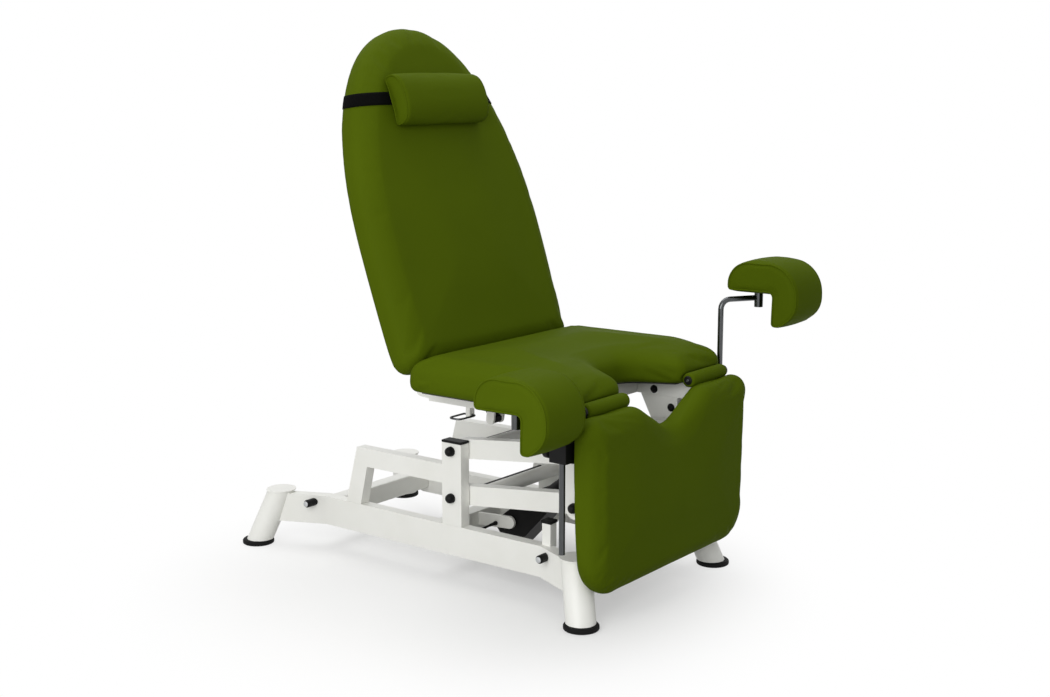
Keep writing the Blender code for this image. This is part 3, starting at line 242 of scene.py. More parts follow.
def makePlywood():
    material, tree, shader = newMaterial("stainedPlywood")
    place = addNode(tree, "ShaderNodeTexCoord").outputs["Object"]
    drawn = addNode(tree, "ShaderNodeMapping", {"Scale": boardLook["stretch"]}, {"Vector": place})
    grain = addNode(tree, "ShaderNodeTexNoise", {"Scale": perMetre(boardLook["grain"]), "Detail": 5.0,
                                                 "Distortion": 0.6}, {"Vector": drawn.outputs["Vector"]})
    ramp = addNode(tree, "ShaderNodeValToRGB", {}, {"Fac": grain.outputs["Fac"]})
    ramp.color_ramp.elements[0].color = linear(boardLook["dark"])
    ramp.color_ramp.elements[0].position = 0.35
    ramp.color_ramp.elements[1].color = linear(boardLook["colour"])
    ramp.color_ramp.elements[1].position = 0.62
    tree.links.new(ramp.outputs["Color"], shader.inputs["Base Color"])
    bump = addNode(tree, "ShaderNodeBump", {"Strength": 0.2, "Distance": 0.15 * mm},
                   {"Height": grain.outputs["Fac"]})
    tree.links.new(bump.outputs["Normal"], shader.inputs["Normal"])
    shader.inputs["Roughness"].default_value = boardLook["rough"]
    return material


# Woven elastic: polyester yarn over rubber cores, ribbed along its length.
# colour is painted shade in the grooves between the ribs; pale is a painted highlight on their crests
elasticLook = {"colour": "#060606", "pale": "#0E0E0D", "rib": 1.9, "pick": 1.3, "rough": 0.9}


def makeElastic(acrossWay):
    material, tree, shader = newMaterial("wovenElastic")
    place = addNode(tree, "ShaderNodeTexCoord").outputs["Object"]
    along = addNode(tree, "ShaderNodeVectorMath", {"operation": "DOT_PRODUCT", 1: acrossWay}, {0: place})
    turns = addNode(tree, "ShaderNodeMath",
                    {"operation": "MULTIPLY", 1: math.tau * perMetre(elasticLook["rib"])},
                    {0: along.outputs["Value"]})
    rib = addNode(tree, "ShaderNodeMath", {"operation": "SINE"}, {0: turns.outputs[0]})
    ribHeight = addNode(tree, "ShaderNodeMapRange", {"From Min": -1.0}, {"Value": rib.outputs[0]})
    # the colour follows the rib height: painted shade in the grooves, painted highlight on the crests
    ramp = addNode(tree, "ShaderNodeValToRGB", {}, {"Fac": ribHeight.outputs["Result"]})
    ramp.color_ramp.elements[0].color = linear(elasticLook["colour"])
    ramp.color_ramp.elements[1].color = linear(elasticLook["pale"])
    tree.links.new(ramp.outputs["Color"], shader.inputs["Base Color"])
    yarn = addNode(tree, "ShaderNodeTexNoise", {"Scale": perMetre(elasticLook["pick"]), "Detail": 2.0},
                   {"Vector": place})
    cords = addNode(tree, "ShaderNodeBump", {"Strength": 0.5, "Distance": 0.4 * mm},
                    {"Height": ribHeight.outputs["Result"]})
    fuzz = addNode(tree, "ShaderNodeBump", {"Strength": 0.3, "Distance": 0.2 * mm},
                   {"Height": yarn.outputs["Fac"], "Normal": cords.outputs["Normal"]})
    tree.links.new(fuzz.outputs["Normal"], shader.inputs["Normal"])
    shader.inputs["Roughness"].default_value = elasticLook["rough"]
    shader.inputs["Specular IOR Level"].default_value = 0.04
    return material


backTilt = {"lean": math.radians(19.0), "hinge": jointAt["backrest_tilt"]}
upBack = Vector((0, math.sin(backTilt["lean"]), math.cos(backTilt["lean"])))
outBack = Vector((0, -math.cos(backTilt["lean"]), math.sin(backTilt["lean"])))

vinyl = makeVinyl()
paint = makePaint()
rodSteel = makeMetal("polishedStainlessRod", rodLook)
plateSteel = makeMetal("zincPlatedSteel", plateLook)
plastic = makeMoulded("mouldedPolyamide", plasticLook)
rubber = makeMoulded("mouldedRubber", rubberLook)
lacquer = makeMoulded("lacqueredSteel", lacquerLook)
plywood = makePlywood()
elastic = makeElastic(upBack)
print("materials made")


def addPiece(name, bm, material):
    mesh = bpy.data.meshes.new(name)
    bm.to_mesh(mesh)
    bm.free()
    mesh.polygons.foreach_set("use_smooth", [True] * len(mesh.polygons))
    piece = bpy.data.objects.new(name, mesh)
    scene.collection.objects.link(piece)
    mesh.materials.append(material)
    return piece


def baked(piece):
    # the piece's modifiers become its mesh
    graph = bpy.context.evaluated_depsgraph_get()
    mesh = bpy.data.meshes.new_from_object(piece.evaluated_get(graph))
    old = piece.data
    piece.modifiers.clear()
    piece.data = mesh
    bpy.data.meshes.remove(old)
    mesh.name = piece.name
    mesh.polygons.foreach_set("use_smooth", [True] * len(mesh.polygons))


def roundCord(name, line, radius, rounds):
    # a tube along a line of points
    curve = bpy.data.curves.new(name, "CURVE")
    curve.dimensions = "3D"
    curve.bevel_depth = radius
    curve.bevel_resolution = rounds
    spline = curve.splines.new("POLY")
    spline.points.add(len(line) - 1)
    for point, p in zip(spline.points, line):
        point.co = (*p, 1.0)
    cord = bpy.data.objects.new(name, curve)
    scene.collection.objects.link(cord)
    return cord


# The actuator's lead runs from its bracket into the near rail.
leadLook = {"start": (-0.0483, frontFeet + 0.430, 0.107), "end": (-0.1797, frontFeet + 0.450, 0.091),
            "pull": 0.060, "bends": 24, "across": 6 * mm, "rounds": 4, "sleeve": 24 * mm,
            "sleeveAcross": 11 * mm, "sleeveSides": 24}
leadStart, leadEnd = Vector(leadLook["start"]), Vector(leadLook["end"])
leadPull = Vector((leadLook["pull"], 0, 0))
leadLine = []
for k in range(leadLook["bends"] + 1):
    t = k / leadLook["bends"]
    leadLine.append((1 - t) ** 3 * leadStart + 3 * t * (1 - t) ** 2 * (leadStart - leadPull)
                    + 3 * t * t * (1 - t) * (leadEnd + leadPull) + t ** 3 * leadEnd)
lead = roundCord("motorLead", leadLine, leadLook["across"] / 2, leadLook["rounds"])
lead.data.use_fill_caps = True
lead.data.materials.append(rubber)
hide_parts("motor_lead")
baseBody = body_of(nodes["motor_lead"])[0]
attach(lead, baseBody)


# Every rigid solid keeps its shape and gets rolled or moulded edges and its finish.
# Each row: material, slot, width of its edges, and how the names of its solids end.
finishes = (
    (plastic, "black_plastic", 1.0 * mm, ("cap", "shaft", "peg", "bush", "knob", "mount", "housing",
                                          "cylinder")),
    (rubber, "rubber", 0.8 * mm, ("foot", "stop_pad")),
    (rodSteel, "bright_steel", 0.6 * mm, ("stirrup_rod", "plunger", "gas_rod", "bail")),
    (lacquer, "plated_steel", 2.5 * mm, ("clamp",)),
    (plywood, "plywood", 1.5 * mm, ("board",)),
    (paint, "white_steel", 2.2 * mm, ("rail", "post", "upright", "seat_bar", "crossbeam", "arms",
                                      "seat_cross", "backrest_frame")),
)
edgeLook = {"join": 0.01 * mm, "flat": math.radians(1.0), "sharp": math.radians(38), "rounds": 3}
replacedNodes = ("seat_cushion", "backrest_cushion", "flap_cushion", "head_pillow", "pillow_strap",
                 "right_knee_pad", "left_knee_pad", "right_flap_roll", "left_flap_roll", "motor_lead")


def finishOf(name):
    for material, slotName, edge, endings in finishes:
        if name.endswith(endings):
            return material, slotName, edge
    raise ValueError("no finish for " + name)


for name, node in nodes.items():
    if name in replacedNodes:
        continue
    material, slotName, edge = finishOf(name)
    node.data.materials.clear()
    node.data.materials.append(material)
    node.data.polygons.foreach_set("use_smooth", [True] * len(node.data.polygons))
    join = node.modifiers.new("join", "WELD")
    join.merge_threshold = edgeLook["join"]
    flat = node.modifiers.new("flats", "DECIMATE")
    flat.decimate_type = "DISSOLVE"
    flat.angle_limit = edgeLook["flat"]
    roll = node.modifiers.new("rolledEdges", "BEVEL")
    roll.width = edge
    roll.segments = edgeLook["rounds"]
    roll.limit_method = "ANGLE"
    roll.angle_limit = edgeLook["sharp"]
    roll.use_clamp_overlap = True
    even = node.modifiers.new("evenShading", "WEIGHTED_NORMAL")
    even.weight = 100
print("rigid solids finished")


def evenLine(points, count):
    # evenly spaced points along a closed line
    runs = [0.0]
    for p, q in zip(points, points[1:] + points[:1]):
        runs.append(runs[-1] + (q - p).length)
    loop, k = [], 0
    for i in range(count):
        want = runs[-1] * i / count
        while runs[k + 1] < want:
            k += 1
        t = (want - runs[k]) / max(runs[k + 1] - runs[k], tiny)
        loop.append(points[k].lerp(points[(k + 1) % len(points)], t))
    return loop


cornerLook = {"least": 3 * mm, "easing": 0.55, "arcSteps": 12, "sideSteps": 16}


def eased(t):
    return t * t * (3 - 2 * t)  # from 0 to 1 with a soft start and end


def softRadius(by):
    return cornerLook["least"] + by * cornerLook["easing"]  # foam rounds a corner off as it rises


def roundedLine(corners, by=0.0):
    # corners given as across, up, radius become one loop, moved inwards by the last number
    arcSteps, sideSteps = cornerLook["arcSteps"], cornerLook["sideSteps"]
    done, run = [], []
    for i, (x, y, r) in enumerate(corners):
        here = Vector((x, y))
        before = (Vector(corners[i - 1][:2]) - here).normalized()
        after = (Vector(corners[(i + 1) % len(corners)][:2]) - here).normalized()
        half = before.angle(after) / 2
        inward = by if before.cross(after) < 0 else -by
        here += (before + after).normalized() * (inward / math.sin(half))
        r = max(r - inward, softRadius(by) if inward > 0 else r)
        centre = here + (before + after).normalized() * (r / math.sin(half))
        a = here + before * (r / math.tan(half)) - centre
        b = here + after * (r / math.tan(half)) - centre
        run.append([centre + Matrix.Rotation(a.angle_signed(b) * -k / arcSteps, 2) @ a
                    for k in range(arcSteps + 1)])
    for arc, following in zip(run, run[1:] + run[:1]):
        done += arc + [arc[-1].lerp(following[0], k / sideSteps) for k in range(1, sideSteps)]
    return done


def pulledIn(loop, by):
    # every point moved inwards, square to the line
    moved = []
    for i, p in enumerate(loop):
        way = (loop[(i + 1) % len(loop)] - loop[i - 1]).normalized()
        moved.append(p + Vector((-way.y, way.x)) * by)
    return moved


def mirrored(corners):
    # one half's corners, then the other half's
    return corners + [(-x, y, r) for x, y, r in reversed(corners)]


def bridged(bm, rings):
    # quads between neighbouring closed rings
    for low, high in zip(rings, rings[1:]):
        for i in range(len(low)):
            j = (i + 1) % len(low)
            bm.faces.new((low[i], low[j], high[j], high[i]))


def lofted(rows, splitEnds=False):
    # rings of points, each at its height, joined from the foot up and closed by two flat ends
    bm = bmesh.new()
    rings = [[bm.verts.new((p.x, p.y, h)) for p in loop] for loop, h in rows]
    bridged(bm, rings)
    ends = [bm.faces.new(list(reversed(rings[0]))), bm.faces.new(rings[-1])]
    if splitEnds:
        bmesh.ops.triangulate(bm, faces=ends)
    return bm


def coverRows(line, look):
    # foot turned under and stapled, upright side, then a broad shoulder up to the face
    foot, edge, shoulder, drop = (look[key] for key in ("foot", "edge", "shoulder", "drop"))
    rows = [(line(foot * inwards), foot * up - look["wrap"]) for inwards, up in look["hem"]]
    for k in range(look["shoulderSteps"] + 1):
        a = math.pi / 2 * k / look["shoulderSteps"]
        rows.append((line(shoulder * (1 - math.cos(a))), edge - drop * (1 - math.sin(a))))
    return rows


def crowned(mesh, look):
    # the face rises away from its shoulder, and a seat's front falls away towards the knees
    rim = evenLine(look["line"](look["shoulder"]), look["rimPoints"])
    near = KDTree(len(rim))
    for i, p in enumerate(rim):
        near.insert((p.x, p.y, 0.0), i)
    near.balance()
    for v in mesh.vertices:
        fall = min(max((v.co.y - look["frontAt"]) / look["fallOver"], 0.0), 1.0)
        low = look["fall"] * (1 - eased(fall)) * v.co.z / look["edge"]
        if v.co.z > look["edge"] - look["faceBand"]:
            inside = min(near.find((v.co.x, v.co.y, 0.0))[2] / look["reach"], 1.0)
            v.co.z += look["crown"] * eased(inside)
        v.co.z -= low


def easeMesh(piece, times):
    ease = piece.modifiers.new("ease", "SMOOTH")
    ease.factor = 0.5
    ease.iterations = times


# Coated cloth over foam: hardly stretches, bends softly.
coverCloth = {"quality": 4, "mass": 0.25, "tension_stiffness": 20, "compression_stiffness": 20,
              "shear_stiffness": 8, "bending_stiffness": 2.0, "use_pressure": True}
easeAfter = 3  # smoothing passes after the cloth


def stuffed(piece, look, heldBelow=None):
    # foam pushes the cover out: an even mesh, then cloth under pressure, held where it is stapled down
    even = piece.modifiers.new("evenMesh", "REMESH")
    even.mode = "VOXEL"
    even.voxel_size = look["voxel"]
    easeMesh(piece, look["ease"])
    baked(piece)
    mesh = piece.data
    if "crown" in look:
        crowned(mesh, look)
    start = [v.co.copy() for v in mesh.vertices]
    held = piece.vertex_groups.new(name="stapled")
    if heldBelow is not None:
        held.add([v.index for v in mesh.vertices if v.co.z < heldBelow], 1.0, "REPLACE")
    cloth = piece.modifiers.new("cover", "CLOTH")
    for key, value in coverCloth.items():
        setattr(cloth.settings, key, value)
    cloth.settings.uniform_pressure_force = look["pressure"]
    cloth.settings.vertex_group_mass = "stapled"
    cloth.settings.effector_weights.gravity = 0.0
    cloth.collision_settings.use_collision = False
    cloth.collision_settings.use_self_collision = False
    cloth.point_cache.frame_end = look["steps"]
    for step in range(1, look["steps"] + 1):
        scene.frame_set(step)
    graph = bpy.context.evaluated_depsgraph_get()
    filled = piece.evaluated_get(graph).to_mesh()
    moved = [v.co.copy() for v in filled.vertices]
    piece.evaluated_get(graph).to_mesh_clear()
    piece.modifiers.clear()
    furthest = 0.0
    for v, a, b in zip(mesh.vertices, start, moved):
        swell = b - a
        furthest = max(furthest, swell.length)
        v.co = a + swell * min(1.0, look["cap"] / max(swell.length, tiny))
    easeMesh(piece, easeAfter)
    baked(piece)
    scene.frame_set(1)
    piece.vertex_groups.clear()
    print(piece.name, "swelled by up to", round(furthest / mm, 1), "mm")


def finer(piece):
    more = piece.modifiers.new("finer", "SUBSURF")
    more.levels = 1
    more.render_levels = 1


backBody = body_of(nodes["backrest_cushion"])[0]
seatBody = body_of(nodes["seat_cushion"])[0]
flapBody = body_of(nodes["flap_cushion"])[0]
flapAxis = jointAt["flap_tilt"]

seatPlace = Matrix.Translation((0, frontFeet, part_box("seat_cushion")[0].z))
backFoot = min(outBack.dot(v.co - backTilt["hinge"]) for v in nodes["backrest_cushion"].data.vertices)
backPlace = (Matrix.Translation(backTilt["hinge"] + outBack * backFoot)
             @ Matrix((Vector((1, 0, 0)), upBack, outBack)).transposed().to_4x4())
flapPlace = (Matrix.Translation((0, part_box("flap_cushion")[1].y, 0))
             @ Matrix((Vector((1, 0, 0)), Vector((0, 0, 1)), Vector((0, -1, 0)))).transposed().to_4x4())

seatCorners = mirrored([(70 * mm, 127 * mm, 62 * mm), (131 * mm, 5 * mm, 34 * mm),
                        (328 * mm, 5 * mm, 40 * mm), (328 * mm, 476 * mm, 24 * mm)])
seatFuller = 2 * mm  # the foam stands this far past the corners
flapCorners = mirrored([(328 * mm, 75 * mm, 96 * mm), (343 * mm, 488 * mm, 40 * mm),
                        (140 * mm, 488 * mm, 60 * mm)])
flapCorners.insert(3, (0.0, 408 * mm, 80 * mm))  # the bottom of the notch
backShape = {"foot": 314 * mm, "wide": 321 * mm, "low": 42 * mm, "widest": 350 * mm, "top": 889 * mm,
             "corner": 34 * mm, "full": 0.945, "fuller": 6 * mm, "sideSteps": 12, "headSteps": 60,
             "footSteps": 24}


def seatLine(by):
    return roundedLine(seatCorners, by - seatFuller)


def flapLine(by):
    return roundedLine(flapCorners, by)


def backLine(by):
    # corner arcs, sides that swell to the widest place, and half an ellipse over the head
    by -= backShape["fuller"]
    arcSteps, sideSteps = cornerLook["arcSteps"], backShape["sideSteps"]
    headSteps, footSteps = backShape["headSteps"], backShape["footSteps"]
    foot, wide = backShape["foot"] - by, backShape["wide"] - by
    low, top = backShape["low"] + by, backShape["top"] - by
    widest, r = backShape["widest"], max(backShape["corner"] - by, softRadius(by))
    half = []
    for k in range(arcSteps + 1):
        a = math.pi / 2 * k / arcSteps
        half.append(Vector((foot - r + r * math.sin(a), low + r - r * math.cos(a))))
    for k in range(1, sideSteps):
        t = k / sideSteps
        half.append(Vector((foot + (wide - foot) * (1 - (1 - t) ** 2), low + r + (widest - low - r) * t)))
    for k in range(headSteps):
        a = math.pi / 2 * k / headSteps
        c, s = math.cos(a) ** backShape["full"], math.sin(a) ** backShape["full"]
        half.append(Vector((wide * c, widest + (top - widest) * s)))
    across = Vector((-half[0].x, half[0].y))
    flat = [half[0] * (1 - k / footSteps) + across * (k / footSteps) for k in range(1, footSteps)]
    return half + [Vector((0, top))] + [Vector((-p.x, p.y)) for p in reversed(half)] + flat[::-1]


# What all three covers share; the hem is given in shares of the foot, inwards and up.
coverMake = {"foot": 16 * mm, "hem": ((1.0, 0.0), (0.55, 0.08), (0.2, 0.36), (0.0, 1.0)), "wrap": 0.0,
             "stapled": 2 * mm, "shoulderSteps": 12, "rimPoints": 900, "faceBand": 1.5 * mm, "fall": 0.0,
             "frontAt": 0.0, "fallOver": 100 * mm, "ease": 5, "pressure": 4.0, "steps": 14, "cap": 4 * mm}
covers = {
    "seatCover": {**coverMake, "node": "seat_cushion", "place": seatPlace, "line": seatLine, "body": seatBody,
                  "edge": 81 * mm, "crown": 14 * mm, "reach": 130 * mm, "shoulder": 62 * mm, "drop": 43 * mm,
                  "wrap": 0.5 * mm, "fall": 13 * mm, "frontAt": 5 * mm, "fallOver": 130 * mm,
                  "voxel": 5.5 * mm},
    "backCover": {**coverMake, "node": "backrest_cushion", "place": backPlace, "line": backLine,
                  "body": backBody, "edge": 79 * mm, "crown": 8 * mm, "reach": 200 * mm,
                  "shoulder": 68 * mm, "drop": 42 * mm, "voxel": 6.0 * mm},
    "flapCover": {**coverMake, "node": "flap_cushion", "place": flapPlace, "line": flapLine, "body": flapBody,
                  "edge": 59 * mm, "crown": 6 * mm, "reach": 130 * mm, "shoulder": 40 * mm, "drop": 34 * mm,
                  "voxel": 5.5 * mm},
}
rollRoom = {"radius": 19.6 * mm, "ends": 4 * mm, "fade": 26 * mm, "behind": 60 * mm}


def clearOfRolls(piece):
    # the seat's front edge gives way where the flap's rolls press into it, easing out past their ends
    for side in ("right", "left"):
        lowest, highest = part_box(side + "_flap_roll")
        middle, half = (lowest.x + highest.x) / 2, (highest.x - lowest.x) / 2 + rollRoom["ends"]
        for v in piece.data.vertices:
            up = v.co.z - flapAxis.z
            past = (abs(v.co.x - middle) - half) / rollRoom["fade"]
            if past >= 1 or abs(up) >= rollRoom["radius"] or v.co.y > flapAxis.y + rollRoom["behind"]:
                continue
            push = flapAxis.y + math.sqrt(rollRoom["radius"] ** 2 - up * up) - v.co.y
            if push > 0:
                v.co.y += push * (1 - eased(max(past, 0.0)))


shown = {}
for name, look in covers.items():
    cover = addPiece(name, lofted(coverRows(look["line"], look), splitEnds=True), vinyl)
    stuffed(cover, look, look["stapled"] - look["wrap"])
    cover.data.transform(look["place"])
    if name == "seatCover":
        clearOfRolls(cover)
    finer(cover)
    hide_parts(look["node"])
    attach(cover, look["body"])
    shown[name] = cover
print("seat, back and flap covered")


runSteps = {"end": 4, "side": 8}


def endToEnd(loop, length, edge, bulge):
    # a profile run from end to end, with its two end edges rounded
    rounding, rows = [], []
    for k in range(runSteps["end"] + 1):
        a = math.pi / 2 * k / runSteps["end"]
        rounding.append((pulledIn(loop, edge * (1 - math.sin(a))), length / 2 - edge * (1 - math.cos(a))))
    for k in range(1, runSteps["side"]):
        t = k / runSteps["side"]
        swell = bulge * math.sin(math.pi * t)
        rows.append((pulledIn(loop, -swell), (length - 2 * edge) * (t - 0.5)))
    return lofted([(line, -h) for line, h in rounding] + rows + rounding[::-1])


weltLook = {"proud": 0.4, "rounds": 3}  # proud: how far its middle stands off the cover, in radii


def addWelt(name, host, line, radius):
    # a thin corded seam laid on the surface of its host
    tree = BVHTree.FromObject(host, bpy.context.evaluated_depsgraph_get())
    laid = []
    for p in line:
        near, normal = tree.find_nearest(p)[:2]
        laid.append(near + normal * radius * weltLook["proud"])
    drawn = roundCord(name, laid, radius, weltLook["rounds"])
    drawn.data.splines[0].use_cyclic_u = True
    graph = bpy.context.evaluated_depsgraph_get()
    mesh = bpy.data.meshes.new_from_object(drawn.evaluated_get(graph))
    bpy.data.objects.remove(drawn)
    welt = bpy.data.objects.new(name, mesh)
    scene.collection.objects.link(welt)
    mesh.materials.clear()
    mesh.materials.append(vinyl)
    mesh.polygons.foreach_set("use_smooth", [True] * len(mesh.polygons))
    return welt


# The knee pads: an L-shaped profile, measured from the pad's swivel, run across the knee.
kneeLook = {"width": 138 * mm, "out": {"right": -7.5 * mm, "left": 7.5 * mm},
            "lift": {"right": 1.5 * mm, "left": -2.5 * mm}, "inner": 67 * mm, "front": 137 * mm,
            "rear": 57 * mm, "top": 73 * mm, "under": -3 * mm, "drop": 86 * mm, "toe": 52 * mm,
            "tip": 24 * mm, "crook": 10 * mm, "hem": 12 * mm, "heel": 60 * mm, "shoulder": 83 * mm,
            "toeRound": 62 * mm, "tipRound": 11 * mm, "edge": 6 * mm, "bulge": 1.5 * mm, "points": 220,
            "voxel": 3.6 * mm, "ease": 2, "pressure": 4.0, "steps": 12, "cap": 2.5 * mm,
            "welt": 2.2 * mm, "weltIn": 3.5 * mm}
kneeCorners = [(-kneeLook["inner"], -kneeLook["drop"], kneeLook["crook"]),
               (-kneeLook["inner"], kneeLook["under"], kneeLook["crook"]),
               (kneeLook["rear"], kneeLook["under"], kneeLook["hem"]),
               (kneeLook["rear"], kneeLook["top"], kneeLook["heel"]),
               (-kneeLook["front"], kneeLook["top"], kneeLook["shoulder"]),
               (-kneeLook["front"], -kneeLook["toe"], kneeLook["toeRound"]),
               (-kneeLook["inner"] - kneeLook["tip"], -kneeLook["drop"], kneeLook["tipRound"])]
kneeLoop = evenLine(roundedLine(kneeCorners), kneeLook["points"])
for side in ("right", "left"):
    shift = Vector((kneeLook["out"][side], 0, kneeLook["lift"][side]))
    place = (Matrix.Translation(jointAt[side + "_pad_swivel"] + shift)
             @ Matrix((Vector((0, 1, 0)), Vector((0, 0, 1)), Vector((1, 0, 0)))).transposed().to_4x4())
    shell = endToEnd(kneeLoop, kneeLook["width"], kneeLook["edge"], kneeLook["bulge"])
    pad = addPiece(side + "KneeCover", shell, vinyl)
    stuffed(pad, kneeLook)
    pad.data.transform(place)
    finer(pad)
    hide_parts(side + "_knee_pad")
    body = body_of(nodes[side + "_knee_pad"])[0]
    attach(pad, body)
    for end, word in ((-1, "Outer"), (1, "Inner")):
        line = [place @ Vector((p.x, p.y, end * kneeLook["width"] / 2))
                for p in pulledIn(kneeLoop, kneeLook["weltIn"])]
        welt = addWelt(f"{side}KneeWelt{word}", pad, line, kneeLook["welt"])
        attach(welt, body)
print("knee pads covered")

# The head pillow: a full arch over a flat foot, run across the backrest.
pillowLook = {"height": 128 * mm, "deep": 55 * mm, "rim": 12 * mm, "full": 0.8, "archSteps": 40,
              "footShape": ((2 * mm, 4 * mm), (8 * mm, 0.0)), "points": 180, "ends": (19 * mm, 26 * mm),
              "edge": 6 * mm, "bulge": 1.5 * mm, "up": 688 * mm, "off": 0.2 * mm, "voxel": 4.0 * mm,
              "ease": 2, "pressure": 4.0, "steps": 12, "cap": 3 * mm, "welt": 2.0 * mm, "weltIn": 3.5 * mm}
pillowFoot = min(outBack.dot(v.co - backTilt["hinge"]) for v in nodes["head_pillow"].data.vertices)
pillowEnds = [corner.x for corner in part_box("head_pillow")]
pillowEnds[0] -= pillowLook["ends"][0]  # the soft ends bulge out
pillowEnds[1] += pillowLook["ends"][1]
pillowLength = pillowEnds[1] - pillowEnds[0]
half, rim, full = pillowLook["height"] / 2, pillowLook["rim"], pillowLook["full"]
arch = []
for k in range(pillowLook["archSteps"] + 1):
    a = math.pi * k / pillowLook["archSteps"]
    c, s = math.cos(a), math.sin(a)
    arch.append(Vector((half * math.copysign(abs(c) ** full, c),
                        rim + (pillowLook["deep"] - rim) * abs(s) ** full)))
arch += [Vector((-half + inwards, up)) for inwards, up in pillowLook["footShape"]] + [Vector((0, 0))]
arch += [Vector((half - inwards, up)) for inwards, up in reversed(pillowLook["footShape"])]
pillowLoop = evenLine(arch, pillowLook["points"])
pillowPlace = (Matrix.Translation(backTilt["hinge"] + upBack * pillowLook["up"]
                                  + outBack * (pillowFoot + pillowLook["off"])
                                  + Vector((sum(pillowEnds) / 2, 0, 0)))
               @ Matrix((upBack, outBack, Vector((1, 0, 0)))).transposed().to_4x4())
shell = endToEnd(pillowLoop, pillowLength, pillowLook["edge"], pillowLook["bulge"])
pillow = addPiece("pillowCover", shell, vinyl)
stuffed(pillow, pillowLook)
pillow.data.transform(pillowPlace)
finer(pillow)
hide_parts("head_pillow")
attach(pillow, backBody)
for end, word in ((-1, "Right"), (1, "Left")):
    line = [pillowPlace @ Vector((p.x, p.y, end * pillowLength / 2))
            for p in pulledIn(pillowLoop, pillowLook["weltIn"])]
    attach(addWelt("pillowWelt" + word, pillow, line, pillowLook["welt"]), backBody)
print("pillow covered")


def turnedPiece(name, profile, at, along, material, sides=32):
    # radius and height pairs spun round a line
    bm = bmesh.new()
    verts = [bm.verts.new((r, 0.0, h)) for r, h in profile]
    edges = [bm.edges.new(pair) for pair in zip(verts, verts[1:])]
    bmesh.ops.spin(bm, geom=verts + edges, cent=(0, 0, 0), axis=(0, 0, 1), angle=math.tau, steps=sides)
    bmesh.ops.remove_doubles(bm, verts=bm.verts, dist=0.001 * mm)
    bmesh.ops.recalc_face_normals(bm, faces=bm.faces)
    bm.transform(Matrix.Translation(at) @ Vector(along).to_track_quat("Z", "Y").to_matrix().to_4x4())
    return addPiece(name, bm, material)


# The hinge rolls, each with a plug and a screw in its inner end.
rollLook = {"inside": 0.4 * mm, "sides": 40, "plug": 11 * mm, "plugOut": 2.0 * mm, "screw": 3.6 * mm,
            "screwOut": 1.8 * mm, "straight": (0.3, 0.7),
            "endShape": ((0.0, 0.0), (0.70, 0.0), (0.80, 0.6 * mm), (0.93, 2.2 * mm), (1.0, 7 * mm))}
for side, sign in (("right", -1), ("left", 1)):
    lowest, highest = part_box(side + "_flap_roll")
    radius = (highest.z - lowest.z) / 2 - rollLook["inside"]
    length = highest.x - lowest.x
    span = [*rollLook["endShape"], *((1.0, length * share) for share in rollLook["straight"]),
            *((r, length - h) for r, h in reversed(rollLook["endShape"]))]
    roll = turnedPiece(side + "RollCover", [(radius * r, h) for r, h in span],
                       (lowest.x, flapAxis.y, flapAxis.z), (1, 0, 0), vinyl, rollLook["sides"])
    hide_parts(side + "_flap_roll")
    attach(roll, flapBody)
    inner = Vector((highest.x if sign < 0 else lowest.x, flapAxis.y, flapAxis.z))
    r, out = rollLook["plug"], rollLook["plugOut"]
    profile = [(0, -1 * mm), (r, -1 * mm), (r, out * 0.5), (r - 1 * mm, out), (0, out)]
    plug = turnedPiece(side + "RollPlug", profile, inner, (-sign, 0, 0), plastic)
    r, top = rollLook["screw"], out + rollLook["screwOut"]
    profile = [(0, out - 0.2 * mm), (r, out - 0.2 * mm), (r, out + 0.5 * mm), (r * 0.8, top - 0.5 * mm),
               (r * 0.45, top), (r * 0.40, top - 1.2 * mm), (0, top - 1.2 * mm)]  # with its socket
    screw = turnedPiece(side + "RollScrew", profile, inner, (-sign, 0, 0), rodSteel)
    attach(plug, flapBody)
    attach(screw, flapBody)


def tautLine(points):
    # the line a stretched band takes round a bundle of points
    straight = 1e-12  # a turn this small is no corner
    ordered = sorted(points, key=lambda p: (p.x, p.y))
    line = []
    for run in (ordered, ordered[::-1]):
        hull = []
        for p in run:
            while len(hull) > 1 and (hull[-1] - hull[-2]).cross(p - hull[-1]) <= straight:
                hull.pop()
            hull.append(p)
        line += hull[:-1]
    return line


# The strap is felt for from outside, in a fan of rays towards the heart of the backrest, row by row.
strapLook = {"width": 32 * mm, "thick": 1.4 * mm, "up": 697 * mm, "rise": 0.20, "front": 84 * mm,
             "heart": 64 * mm, "off": 0.5 * mm, "rows": 6, "count": 220, "rays": 360, "fan": 0.12,
             "from": 0.6}
lean = Vector((0, -strapLook["rise"], 1)).normalized()  # the band rides up towards the back
graph = bpy.context.evaluated_depsgraph_get()
under = [BVHTree.FromObject(shown["backCover"], graph), BVHTree.FromObject(nodes["backrest_board"], graph)]
fromBack = backPlace.inverted()
bm = bmesh.new()
bandRings = []
for row in range(strapLook["rows"] + 1):
    lift = strapLook["up"] + strapLook["width"] * (row / strapLook["rows"] - 0.5)
    touched = []
    heart = Vector((0, lift, strapLook["front"])) - lean * strapLook["heart"]
    for k in range(strapLook["rays"]):
        a = math.tau * k / strapLook["rays"]
        way = (Vector((math.cos(a), 0, 0)) + lean * math.sin(a) * strapLook["fan"]).normalized()
        far = heart + way * strapLook["from"]
        for tree in under:
            there = tree.ray_cast(backPlace @ far, backPlace.to_3x3() @ -way)[0]
            if there is not None:
                near = fromBack @ there - heart
                touched.append(Vector((near.x, near.dot(lean))))
    line = pulledIn(evenLine(tautLine(touched), strapLook["count"]), -strapLook["off"])
    bandRings.append([bm.verts.new(backPlace @ (heart + Vector((p.x, 0, 0)) + lean * p.y)) for p in line])
bridged(bm, bandRings)
bmesh.ops.recalc_face_normals(bm, faces=bm.faces)
band = addPiece("elasticStrap", bm, elastic)
